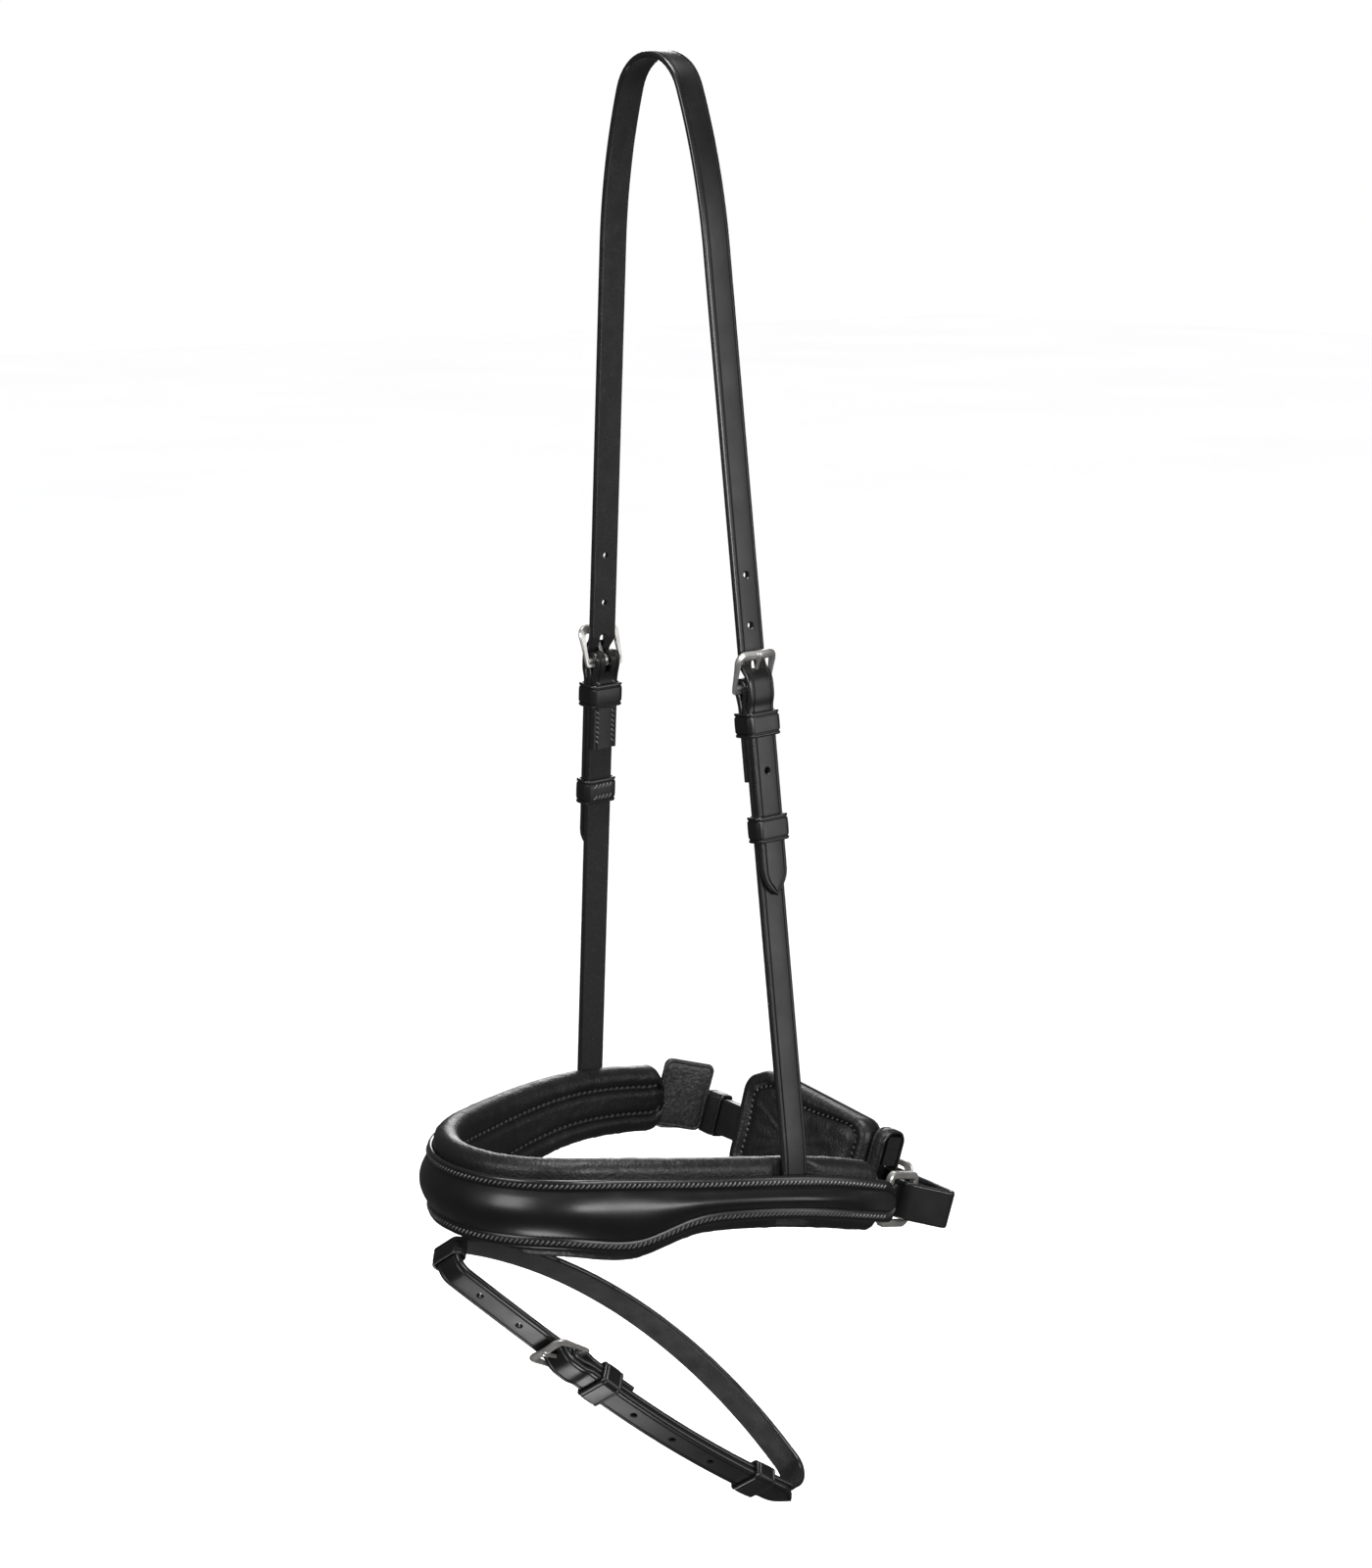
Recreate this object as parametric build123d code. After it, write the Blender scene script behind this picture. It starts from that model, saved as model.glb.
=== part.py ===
from build123d import *
import math
import os

# A black leather combined (flash) noseband with a crank closure, hung from its own headpiece strap.
# Frame: +Z up, the horse looks along -Y, its near (left) side is +X, all in millimetres.
# The origin is the underside of the headpiece at its highest point, where it rests behind the ears.

# ---- Straps ----
STRAP_WIDTH = 13.0
STRAP_THICK = 2.4
CRANK_WIDTH = 16.0
CRANK_THICK = 2.6
LAYER_GAP = 0.25
HOLE_RADIUS = 1.5
HOLE_PITCH = 20.0
TIP_LENGTH = 11.0

# ---- Buckles ----
BAR_RADIUS = 1.2
FOLD_RADIUS = BAR_RADIUS + 0.15
FRAME_TILT = 19.0
FRAME_THICK = 2.0
FRAME_ARM = 2.3
FRONT_BAR_NEAR = 11.6
FRONT_BAR_FAR = 15.2
TONGUE_RADIUS = 0.9
TONGUE_TILT = 28.0
TONGUE_REACH = 15.0
TONGUE_EYE = 2.5
SLOT_WIDTH = 3.2
USED_HOLE_LENGTH = 8.6
HOLE_IN_USE = 6.2
HOLE_ABOVE = 24.2
RISE_START = 10.5
CREST = 3.0
SETTLE = 9.0

# ---- Keepers ----
KEEPER_LENGTH = 10.0
RUNNER_LENGTH = 10.6
KEEPER_WALL = 1.5
KEEPER_GAP = 0.3

# ---- Headpiece and cheek pieces ----
CROWN_LEAN = 2.0
CROWN_RADIUS = 18.2
CROWN_TURN = 70.0
SHOULDER_RADIUS = 248.7
SHOULDER_TURN = 14.6
BAR_DROP = 245.2
BILLET_LENGTH = 84.2
CHEEK_FIXED_KEEPER = 15.0
CHEEK_RUNNER = 57.0
CHEEK_TAIL = 38.0
CHEEK_DROP = 183.8
CHEEK_EASE = 150.0
CHEEK_END = {"near": 14.0, "far": 1.0}

# ---- Noseband ----
NOSE_FRONT = -104.0
NOSE_RADIUS = 51.6
NOSE_TURN = 68.0
SIDE_RADIUS = 300.0
NEAR_SIDE_TURN = 27.2
FAR_SIDE_TURN = 23.7
LINING_SHORT = 1.0
FACING_THICK = 2.4
FACING_CROWN = 4.8
BORDER = 5.0
LINING_THICK = 11.0
LINING_SKIN = 1.0
ROLL_ABOVE = 6.5
ROLL_BELOW = 5.0
NEAR_TOP = [(-92, -431.5), (-37, -436), (15, -443), (40, -448), (90, -462)]
NEAR_BOTTOM = [(-92, -459.7), (-75, -461.4), (-56, -463.4), (-44, -460.3), (-32, -457.2), (-15, -457.3),
               (15, -461.3), (40, -466.8), (90, -479.5)]
FAR_TOP = [(-92, -431.5), (-40, -431), (1, -431.5), (40, -436), (90, -446)]
FAR_BOTTOM = [(-92, -459.5), (-60, -459), (-30, -454.5), (1, -451.5), (40, -454), (90, -463)]

# ---- Crank closure, in its own leaned plane ----
CRANK_ORIGIN = (0, 80, -461.5)
CRANK_ALONG = (0.983, 0.13, -0.13)
CRANK_UP = (0.096, 0.24, 0.966)
RING_REACH = 17.0
RING_WIRE = 3.0
RING_FOLD = 2.4
RING_FRONT = {"near": (62.1, -20.5), "far": (-70.5, -14.0)}
RING_HEAD = {"near": -94.5, "far": -98.8}
RING_CHAPE_THICK = 1.4
RING_CHAPE_WIDTH = 14.0
RING_ROOM = [(0.0, 7.5, 4.2), (6.5, 10.5, 1.7)]
CRANK_LEVEL = 0.4
CRANK_BAR = 36.0
CRANK_BAR_LEVEL = 6.3
CRANK_TOP = 14.0
CRANK_DIP = 43.0
CRANK_LOOP = [("arc", 11.0, -55), ("line", 4.0), ("arc", 8.5, 105), ("line", 14.0), ("arc", 3.3, 130)]
CRANK_KINK = 14.0
CRANK_SLOPE = (29.0, 16.0)
CHAPE_THICK = 1.8
CHAPE_TAIL = 25.0
CRANK_FIXED_KEEPER = 15.0
CRANK_RUNNER = -54.0
CRANK_RUNNER_LENGTH = 9.0
CRANK_KEEPER_WALL = 1.2
CRANK_TIP = -60.0

FLAP_SIZE = (2.4, 19.0, 30.0)
FLAP_PLACE = (-61.5, -11.5, 5.7)
FLAP_TURN = 25.6

# ---- Jaw pad ----
PAD_OUTLINE = [(-31, -13), (-25, -19), (10, -18), (40, -13), (40, 25), (-22, 30), (-32, 24)]
PAD_CORNER = 7.0
PAD_BACK = -1.6
PAD_PLATE = 1.5
PAD_THICK = 11.0
PAD_SKIN = 1.2
LOOP_WALL = 1.0
NEAR_LOOP = (41.3, 47.5)
NEAR_LOOP_SPACE = ((-9.5, 3.3), (-9.0, 23.5))
FAR_LOOP = (-28.0, -20.0)
FAR_LOOP_HALF = 8.5

# ---- Flash strap, in its own hanging plane ----
FLASH_ORIGIN = (-3.8, -105.3, -469.3)
FLASH_ALONG = (0.184, 0.788, -0.588)
FLASH_SIDE = (0.596, -0.565, -0.570)
FLASH_START_HEADING = 9.0
FLASH_END_RADIUS = 7.0
FLASH_UPPER_RADIUS = 2000.0
FLASH_UPPER_TURN = 1.44
FLASH_LOWER_RADIUS = 450.0
FLASH_LOWER_TURN = 14.2
FLASH_FAR_RADIUS = 196.0
FLASH_PITCH = 21.5
FLASH_TAIL = 30.0
FLASH_BILLET = 127.5
FLASH_KEEPER = 17.5
FLASH_RUNNER = 104.5
FLASH_LOOP_LENGTH = 8.0
FLASH_LOOP_BACK = -1.6
FLASH_LOOP_WALL = 1.4
TAB_SIZE = (10.0, 1.8, 14.4)
TAB_PLACE = (0.0, -102.8, -452.7)
LOOP_ROOM = (44.0, 18.0, 21.6)
LOOP_ROOM_PLACE = (0.0, -97.0, -470.0)


# ---- Flat routes: a leg is (x, y, heading in radians, length, curvature), left turns positive ----
def leg_point(leg, s, t=0.0):
    """Point at distance s along a leg and t to its left."""
    x, y, heading, _, bend = leg
    if abs(bend) < 1e-9:
        return (x + s * math.cos(heading) - t * math.sin(heading),
                y + s * math.sin(heading) + t * math.cos(heading))
    centre = (x - math.sin(heading) / bend, y + math.cos(heading) / bend)
    angle = heading + bend * s
    reach = t - 1 / bend
    return (centre[0] - reach * math.sin(angle), centre[1] + reach * math.cos(angle))


def route(start, heading, moves):
    """Legs of a route from its moves: ("line", length) or ("arc", radius, degrees)."""
    legs = []
    x, y = start
    angle = math.radians(heading)
    for move in moves:
        if move[0] == "line":
            leg = (x, y, angle, move[1], 0.0)
        else:
            turn = math.radians(move[2])
            leg = (x, y, angle, abs(turn) * move[1], math.copysign(1 / move[1], turn))
        legs.append(leg)
        x, y = leg_point(leg, leg[3])
        angle += leg[3] * leg[4]
    return legs


def end_of(legs):
    """Place and heading in degrees where a route ends."""
    leg = legs[-1]
    return leg_point(leg, leg[3]), math.degrees(leg[2] + leg[3] * leg[4])


def place_along(legs, s):
    """Place and heading in degrees at distance s along a route, or past its end."""
    for leg in legs[:-1]:
        if s <= leg[3]:
            return leg_point(leg, s), math.degrees(leg[2] + s * leg[4])
        s -= leg[3]
    leg = legs[-1]
    return leg_point(leg, s), math.degrees(leg[2] + s * leg[4])


def turned_back(legs):
    """The same route walked from its end to its start."""
    back = []
    for leg in reversed(legs):
        x, y = leg_point(leg, leg[3])
        back.append((x, y, leg[2] + leg[3] * leg[4] + math.pi, leg[3], -leg[4]))
    return back


def s_bend(run, rise):
    """Two equal arcs that step a route sideways by rise over a run."""
    turn = 2 * math.atan(abs(rise) / run)
    radius = run / (2 * math.sin(turn))
    degrees = math.degrees(math.copysign(turn, rise))
    return [("arc", radius, degrees), ("arc", radius, -degrees)]


def set_at(legs, place, heading):
    """A local route moved to a place and heading of a larger one."""
    angle = math.radians(heading)
    moved = []
    for x, y, leg_heading, length, bend in legs:
        px = place[0] + x * math.cos(angle) - y * math.sin(angle)
        py = place[1] + x * math.sin(angle) + y * math.cos(angle)
        moved.append((px, py, leg_heading + angle, length, bend))
    return moved


def leg_edge(leg, t):
    start = leg_point(leg, 0, t)
    end = leg_point(leg, leg[3], t)
    if abs(leg[4]) < 1e-9:
        return Line(start, end)
    return ThreePointArc(start, leg_point(leg, leg[3] / 2, t), end)


def ribbon(legs, low, high, width):
    """Solid strap in local XY between two offsets of a route, its width centred on Z."""
    first = legs[0]
    last = legs[-1]
    edges = [leg_edge(leg, high) for leg in legs]
    edges.append(Line(leg_point(last, last[3], high), leg_point(last, last[3], low)))
    edges += [leg_edge(leg, low) for leg in reversed(legs)]
    edges.append(Line(leg_point(first, 0, low), leg_point(first, 0, high)))
    return extrude(make_face(edges), amount=width / 2, both=True)


def spot(place, heading, s=0.0, t=0.0, flip=False):
    """Location of a fitting: local X along the strap, Y outward, Z across its width."""
    angle = math.radians(heading)
    x = place[0] + s * math.cos(angle) - t * math.sin(angle)
    y = place[1] + s * math.sin(angle) + t * math.cos(angle)
    return Location((x, y, 0), (0, 180 if flip else 0, heading))


# ---- Fittings in local axes: X along the strap, Y outward, Z across its width ----
def tip_cutter(width, thick_range):
    """What is cut from a strap's end to leave a rounded point that ends at X=0."""
    low, high = thick_range
    half = width / 2
    bulge = (-TIP_LENGTH * 0.42, half * 0.72)
    point = make_face([
        Line((-TIP_LENGTH - 1, -half - 1), (-TIP_LENGTH - 1, half + 1)),
        Line((-TIP_LENGTH - 1, half + 1), (-TIP_LENGTH, half + 1)),
        Line((-TIP_LENGTH, half + 1), (-TIP_LENGTH, half)),
        ThreePointArc((-TIP_LENGTH, half), bulge, (0, 0)),
        ThreePointArc((0, 0), (bulge[0], -bulge[1]), (-TIP_LENGTH, -half)),
        Line((-TIP_LENGTH, -half), (-TIP_LENGTH, -half - 1)),
        Line((-TIP_LENGTH, -half - 1), (-TIP_LENGTH - 1, -half - 1)),
    ])
    arch = extrude(point, amount=(high - low) + 2)
    arch = Location((0, low - 1, 0), (90, 0, 0)) * mirror(arch, about=Plane.XY)
    block = Pos(-TIP_LENGTH / 2 + 0.5, (low + high) / 2, 0) * Box(TIP_LENGTH + 1, high - low + 1.6, width + 1)
    return block - arch


def punched_hole(thick_range, length=0.0):
    """Round or oval hole cutter through a strap."""
    low, high = thick_range
    depth = high - low + 2
    turned = Location((0, (low + high) / 2, 0), (90, 0, 0))
    cutter = Cylinder(HOLE_RADIUS, depth)
    if length:
        cutter = extrude(SlotOverall(length, 2 * HOLE_RADIUS), amount=depth / 2, both=True)
    return turned * cutter


def fold_slot():
    """Slot in a folded strap end that the tongue's eye turns in."""
    return Box(2 * 5.0, 2 * 5.0, SLOT_WIDTH)


def buckle_frame(strap_width):
    """Roller-less bridle buckle: a broad front bar, two side arms and the bar the strap folds round."""
    window = strap_width + 2.4
    outer = window + 2 * FRAME_ARM
    length = FRONT_BAR_FAR + 1.8
    outline = Pos(1.8 - length / 2, 0) * RectangleRounded(length, outer, 2.6)
    reach = FRONT_BAR_NEAR + 8
    inside = Pos(8 - reach / 2, 0) * RectangleRounded(reach, window, 1.4)
    plate = extrude(outline - inside, amount=FRAME_THICK / 2, both=True)
    lay_over = Location((0, 0, 0), (90, 0, 0))
    frame = Rot(0, 0, -FRAME_TILT) * (lay_over * plate)
    bar = Cylinder(BAR_RADIUS, window + FRAME_ARM)
    return frame + bar


def buckle_tongue():
    """Tongue with an eye that turns on the bar and a tip that lies on the front bar."""
    eye = Cylinder(TONGUE_EYE, 2 * TONGUE_RADIUS + 0.3)
    length = TONGUE_REACH - BAR_RADIUS - 0.4
    stem = Pos(-TONGUE_REACH + length / 2, 0, 0) * (Rot(0, 90, 0) * Cylinder(TONGUE_RADIUS, length))
    return (Rot(0, 0, -TONGUE_TILT) * stem + eye) - Cylinder(BAR_RADIUS + 0.05, 10)


def keeper(length, low, high, strap_width, wall=KEEPER_WALL):
    """Flat leather loop round the layers between two heights."""
    gap = KEEPER_GAP
    inner = (high - low + 2 * gap, strap_width + 2 * gap)
    outer = (inner[0] + 2 * wall, inner[1] + 2 * wall)
    loop = RectangleRounded(outer[0], outer[1], wall + 0.3) - RectangleRounded(inner[0], inner[1], 0.3)
    tube = extrude(loop, amount=length / 2, both=True)
    return Pos(0, (low + high) / 2, 0) * (Rot(0, 90, 0) * Rot(0, 0, 90) * tube)


def chape(thick, tail_moves, after, half_gap=0.05):
    """Local legs of a strap end: tail inside, fold round the bar, outer layer onwards."""
    drop = FOLD_RADIUS - half_gap
    tail = turned_back(route((0, -FOLD_RADIUS), 0, s_bend(SETTLE, drop) + tail_moves))
    fold = route((0, -FOLD_RADIUS), 180, [("arc", FOLD_RADIUS, -180)])
    outer = route((0, FOLD_RADIUS), 0, s_bend(SETTLE, -drop) + after)
    return tail + fold + outer


def billet_moves(thick_below):
    """Step up over the folded end, cross its crest and settle on the layer below it."""
    crest = FOLD_RADIUS + thick_below + LAYER_GAP
    level = 0.05 + thick_below + LAYER_GAP
    climb = s_bend(RISE_START - 0.5, crest - 0.05)
    return climb + [("line", CREST)] + s_bend(SETTLE - CREST + 0.5, level - crest)


STACK = 0.05 + STRAP_THICK + LAYER_GAP
OUTSIDE = STACK + STRAP_THICK
nodes = {}


# ---- Headpiece strap ----
crown_plane = Plane(origin=(0, 0, 0), x_dir=(1, 0, 0),
                    z_dir=(0, -math.cos(math.radians(CROWN_LEAN)), -math.sin(math.radians(CROWN_LEAN))))
arch_moves = [("arc", CROWN_RADIUS, -CROWN_TURN), ("arc", SHOULDER_RADIUS, -SHOULDER_TURN)]
arch_end, cheek_heading = end_of(route((0, 0), 0, arch_moves))
straight = (BAR_DROP + arch_end[1]) / math.sin(math.radians(-cheek_heading))
cheek_bar = (arch_end[0] + straight * math.cos(math.radians(cheek_heading)), -BAR_DROP)


def cheek_spot(s=0.0, t=0.0):
    return spot(cheek_bar, cheek_heading, s, t)


def build_crown_strap():
    half = arch_moves + [("line", straight - RISE_START)] + billet_moves(STRAP_THICK)
    half.append(("line", BILLET_LENGTH - SETTLE))
    near = route((0, 0), 0, half)
    far = turned_back([(-x, y, math.pi - heading, length, -bend) for x, y, heading, length, bend in near])
    strap = ribbon(far + near, 0.05, STRAP_THICK + 0.05, STRAP_WIDTH)
    cutters = [cheek_spot(BILLET_LENGTH) * tip_cutter(STRAP_WIDTH, (STACK - 1, OUTSIDE + 1))]
    for place in (-HOLE_ABOVE - HOLE_PITCH, -HOLE_ABOVE):
        cutters.append(cheek_spot(place) * punched_hole((-1, STRAP_THICK + 1)))
    cutters.append(cheek_spot(-HOLE_IN_USE) * punched_hole((-1, OUTSIDE + 1), USED_HOLE_LENGTH))
    for place in (HOLE_PITCH - HOLE_IN_USE, 2 * HOLE_PITCH - HOLE_IN_USE):
        cutters.append(cheek_spot(place) * punched_hole((STACK - 1, OUTSIDE + 1)))
    for cutter in cutters:
        strap = strap - cutter - mirror(cutter, about=Plane.YZ)
    return crown_plane.location * strap


nodes["crown_strap"] = build_crown_strap()


# ---- Cheek pieces with their buckles ----
def cheek_route(side):
    after = [("line", CHEEK_DROP - SETTLE), ("arc", CHEEK_EASE, -(90 + cheek_heading)),
             ("line", CHEEK_END[side])]
    legs = chape(STRAP_THICK, [("line", CHEEK_TAIL - SETTLE)], after)
    return set_at(legs, cheek_bar, cheek_heading)


def build_cheek(side):
    """Cheek strap, buckle, tongue and both keepers of one side, in near-side coordinates."""
    strap = ribbon(cheek_route(side), 0.0, STRAP_THICK, STRAP_WIDTH) - cheek_spot() * fold_slot()
    fixed = keeper(KEEPER_LENGTH, -STRAP_THICK - 0.05, OUTSIDE, STRAP_WIDTH)
    runner = keeper(RUNNER_LENGTH, 0.05, OUTSIDE, STRAP_WIDTH)
    return {
        "cheek_strap": strap,
        "cheek_buckle_frame": cheek_spot() * buckle_frame(STRAP_WIDTH),
        "cheek_buckle_tongue": cheek_spot() * buckle_tongue(),
        "cheek_fixed_keeper": cheek_spot(CHEEK_FIXED_KEEPER) * fixed,
        "cheek_runner": cheek_spot(CHEEK_RUNNER) * runner,
    }


pockets = []
for side in ("near", "far"):
    for name, solid in build_cheek(side).items():
        placed = crown_plane.location * solid
        nodes[side + "_" + name] = placed if side == "near" else mirror(placed, about=Plane.YZ)
    lower_end = cheek_route(side)[-3:]
    pocket = crown_plane.location * ribbon(lower_end, -0.15, STRAP_THICK + 0.15, STRAP_WIDTH + 0.4)
    pockets.append(pocket if side == "near" else mirror(pocket, about=Plane.YZ))


# ---- Noseband ----
def noseband_route(short):
    """Plan of the face between facing and lining, from the near end round the nose to the far end."""
    near_moves = [("arc", NOSE_RADIUS, NOSE_TURN), ("arc", SIDE_RADIUS, NEAR_SIDE_TURN - short)]
    far_moves = [("arc", NOSE_RADIUS, -NOSE_TURN), ("arc", SIDE_RADIUS, -FAR_SIDE_TURN + short)]
    near_half = route((0, NOSE_FRONT), 0, near_moves)
    far_half = route((0, NOSE_FRONT), 180, far_moves)
    return turned_back(near_half) + far_half


def side_shape(top, bottom, above, below, reach):
    """Upright slab with the outline of one side, from the centre plane outward."""
    front = NOSE_FRONT - 12
    up = [(y, z + above) for y, z in top]
    down = [(y, z - below) for y, z in bottom]
    edges = [
        Line((front, up[0][1]), up[0]),
        Spline(up, tangents=((1, 0), (1, -0.25))),
        Line(up[-1], down[-1]),
        Spline(down, tangents=((1, 0), (1, -0.25))),
        Line(down[0], (front, down[0][1])),
        Line((front, down[0][1]), (front, up[0][1])),
    ]
    return extrude(Plane.YZ * make_face(edges), amount=reach)


def noseband_band(low, high, above, below, short=0.0):
    """Band between two offsets of the plan, trimmed to both side outlines."""
    tall = Pos(0, 0, -450) * ribbon(noseband_route(short), low, high, 120)
    near = tall & side_shape(NEAR_TOP, NEAR_BOTTOM, above, below, 90)
    far = tall & side_shape(FAR_TOP, FAR_BOTTOM, above, below, -90)
    return near + far


crank_plane = Plane(origin=CRANK_ORIGIN, x_dir=CRANK_ALONG, z_dir=CRANK_UP)


def ring_chape_route(side):
    """Doubled strap that holds a ring's front bar to the end of the noseband."""
    fold = RING_FOLD
    settle = s_bend(7, fold - 0.1) + [("line", 9.0)]
    tail = turned_back(route((0, -fold), 0, settle))
    turn = route((0, -fold), 180, [("arc", fold, -180)])
    outer = route((0, fold), 0, s_bend(7, 0.1 - fold) + [("line", 9.0)])
    return set_at(tail + turn + outer, RING_FRONT[side], RING_HEAD[side])


def build_noseband():
    rim = BORDER + 2
    core_pocket = noseband_band(-1.0, FACING_THICK, -rim, -rim, 4.0)
    facing = noseband_band(0, FACING_THICK, 0, 0) + noseband_band(0, FACING_CROWN, -BORDER, -BORDER, 2.0)
    inside = (ROLL_ABOVE - LINING_SKIN, ROLL_BELOW - LINING_SKIN)
    end = LINING_SHORT + 0.3
    foam_space = noseband_band(LINING_SKIN - LINING_THICK, 0.5, inside[0], inside[1], end)
    lining = noseband_band(-LINING_THICK, -0.1, ROLL_ABOVE, ROLL_BELOW, LINING_SHORT) - foam_space
    foam = noseband_band(LINING_SKIN - LINING_THICK + 0.1, -0.15, inside[0] - 0.1, inside[1] - 0.1, end + 0.1)
    core = noseband_band(0, FACING_THICK - 0.1, -rim - 0.1, -rim - 0.1, 4.1)
    return facing - core_pocket, core, lining, foam


facing, core, lining, foam = build_noseband()
for side in RING_FRONT:
    legs = ring_chape_route(side)
    nodes[side + "_ring_chape"] = crank_plane.location * ribbon(legs, 0, RING_CHAPE_THICK, RING_CHAPE_WIDTH)
    for start, length, half in RING_ROOM:
        room = set_at(route((start, 0), 0, [("line", length)]), RING_FRONT[side], RING_HEAD[side])
        pockets.append(crank_plane.location * ribbon(room, -half, half, RING_CHAPE_WIDTH + 0.4))
for pocket in pockets:
    lining = lining - pocket
    foam = foam - pocket
nodes["noseband_facing"] = facing
nodes["noseband_raised_core"] = core
nodes["noseband_lining"] = lining
nodes["noseband_foam"] = foam


# ---- Rings ----
def ring_at(side):
    """Rectangular ring whose long bars lie across the straps."""
    length = RING_REACH + RING_WIRE
    inside = CRANK_WIDTH + 2.0
    height = inside + 2 * RING_WIRE
    outline = RectangleRounded(length, height, 3.4)
    outline = outline - RectangleRounded(length - 2 * RING_WIRE, inside, 0.9)
    plate = extrude(outline, amount=RING_WIRE / 2, both=True)
    upright = Rot(0, 90, 0) * (Rot(0, 0, 90) * plate)
    p, q = RING_FRONT[side]
    return crank_plane.location * (Pos(p, q + RING_REACH / 2, 0) * upright)


for side in RING_FRONT:
    nodes[side + "_ring"] = ring_at(side)


# ---- Crank strap, from its fold on the far ring to its tip ----
def crank_route():
    """Tail, fold on the far ring, run behind the pad, slack loop through the near ring, billet."""
    fold = RING_FOLD
    far_p = RING_FRONT["far"][0]
    far_q = RING_FRONT["far"][1] + RING_REACH
    tail_rise = CRANK_LEVEL - 0.1 - (far_q - fold)
    tail = turned_back(route((far_p, far_q - fold), 0, s_bend(7, tail_rise) + [("line", 1.5)]))
    turn = route((far_p, far_q - fold), 180, [("arc", fold, -180)])
    moves = s_bend(SETTLE, CRANK_LEVEL - far_q - fold) + [("line", CRANK_DIP - far_p - SETTLE)]
    under = route((far_p, far_q + fold), 0, moves + CRANK_LOOP)
    (x, y), heading = end_of(under)
    level = CRANK_BAR_LEVEL + CRANK_THICK
    crest = FOLD_RADIUS + CHAPE_THICK + LAYER_GAP
    settled = CHAPE_THICK + LAYER_GAP + 0.05
    laid = CRANK_LEVEL + CRANK_THICK + LAYER_GAP - CRANK_BAR_LEVEL
    moves = s_bend(CRANK_KINK, y - level)
    moves += [("line", x - CRANK_KINK - CRANK_BAR - RISE_START)] + s_bend(RISE_START - 0.5, -crest)
    moves += [("line", CREST)] + s_bend(SETTLE - CREST + 0.5, crest - settled)
    moves += [("line", CRANK_SLOPE[0])] + s_bend(CRANK_SLOPE[1], settled - laid)
    top = route((x, y), 180, moves)
    (x, y), _ = end_of(top)
    last = route((x, y), 180, [("line", x - CRANK_TIP)])
    return tail + turn + under + top + last


def build_crank_strap():
    strap = ribbon(crank_route(), 0.0, CRANK_THICK, CRANK_WIDTH)
    run_top = CRANK_LEVEL + CRANK_THICK
    strap = strap - spot((CRANK_TIP, 0), 0, flip=True) * tip_cutter(CRANK_WIDTH, (run_top, run_top + 4))
    above_run = (run_top + 1.1, CRANK_TOP)
    strap = strap - spot((CRANK_BAR + HOLE_IN_USE, 0), 0) * punched_hole(above_run, USED_HOLE_LENGTH)
    for count in (1, 2, 3):
        place = CRANK_BAR + HOLE_IN_USE - HOLE_PITCH * count
        strap = strap - spot((place, 0), 0) * punched_hole(above_run)
    return strap


def crank_spot(s=0.0):
    """Fitting on the returning strap: local X runs towards the far side."""
    return spot((CRANK_BAR - s, CRANK_BAR_LEVEL), 0, flip=True)


def build_crank_parts():
    chape_legs = chape(CHAPE_THICK, [("line", CHAPE_TAIL)], [("line", CHAPE_TAIL)])
    run_low = CRANK_LEVEL - CRANK_BAR_LEVEL
    billet_top = CHAPE_THICK + LAYER_GAP + 0.05 + CRANK_THICK
    pair_top = CRANK_LEVEL + 2 * CRANK_THICK + LAYER_GAP
    fixed = keeper(KEEPER_LENGTH, run_low, billet_top, CRANK_WIDTH, CRANK_KEEPER_WALL)
    runner = keeper(CRANK_RUNNER_LENGTH, CRANK_LEVEL, pair_top, CRANK_WIDTH, CRANK_KEEPER_WALL)
    return {
        "crank_strap": build_crank_strap(),
        "crank_chape": crank_spot() * (ribbon(chape_legs, 0, CHAPE_THICK, CRANK_WIDTH) - fold_slot()),
        "crank_buckle_frame": crank_spot() * buckle_frame(CRANK_WIDTH),
        "crank_buckle_tongue": crank_spot() * buckle_tongue(),
        "crank_fixed_keeper": crank_spot(CRANK_FIXED_KEEPER) * fixed,
        "crank_runner": spot((CRANK_RUNNER, 0), 0) * runner,
    }


for name, solid in build_crank_parts().items():
    nodes[name] = crank_plane.location * solid


# ---- Jaw pad ----
def pad_slab(inset, low, high):
    """Slab with the pad's outline, between two distances from the strap."""
    face = make_face(Polyline(*PAD_OUTLINE, close=True))
    face = fillet(face.vertices(), PAD_CORNER)
    if inset:
        face = offset(face, -inset)
    slab = extrude(face, amount=high - low)
    return Location((0, high, 0), (90, 0, 0)) * slab


def tunnel(start, stop, low, high, bottom, top):
    """Soft leather loop that the strap runs through, given by its opening."""
    opening = (high - low, top - bottom)
    outer = RectangleRounded(opening[0] + 2 * LOOP_WALL, opening[1] + 2 * LOOP_WALL, 2.0)
    band = extrude(outer - RectangleRounded(opening[0], opening[1], 1.0), amount=(stop - start) / 2, both=True)
    upright = Rot(0, 90, 0) * (Rot(0, 0, 90) * band)
    return Pos((start + stop) / 2, (low + high) / 2, (bottom + top) / 2) * upright


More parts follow.
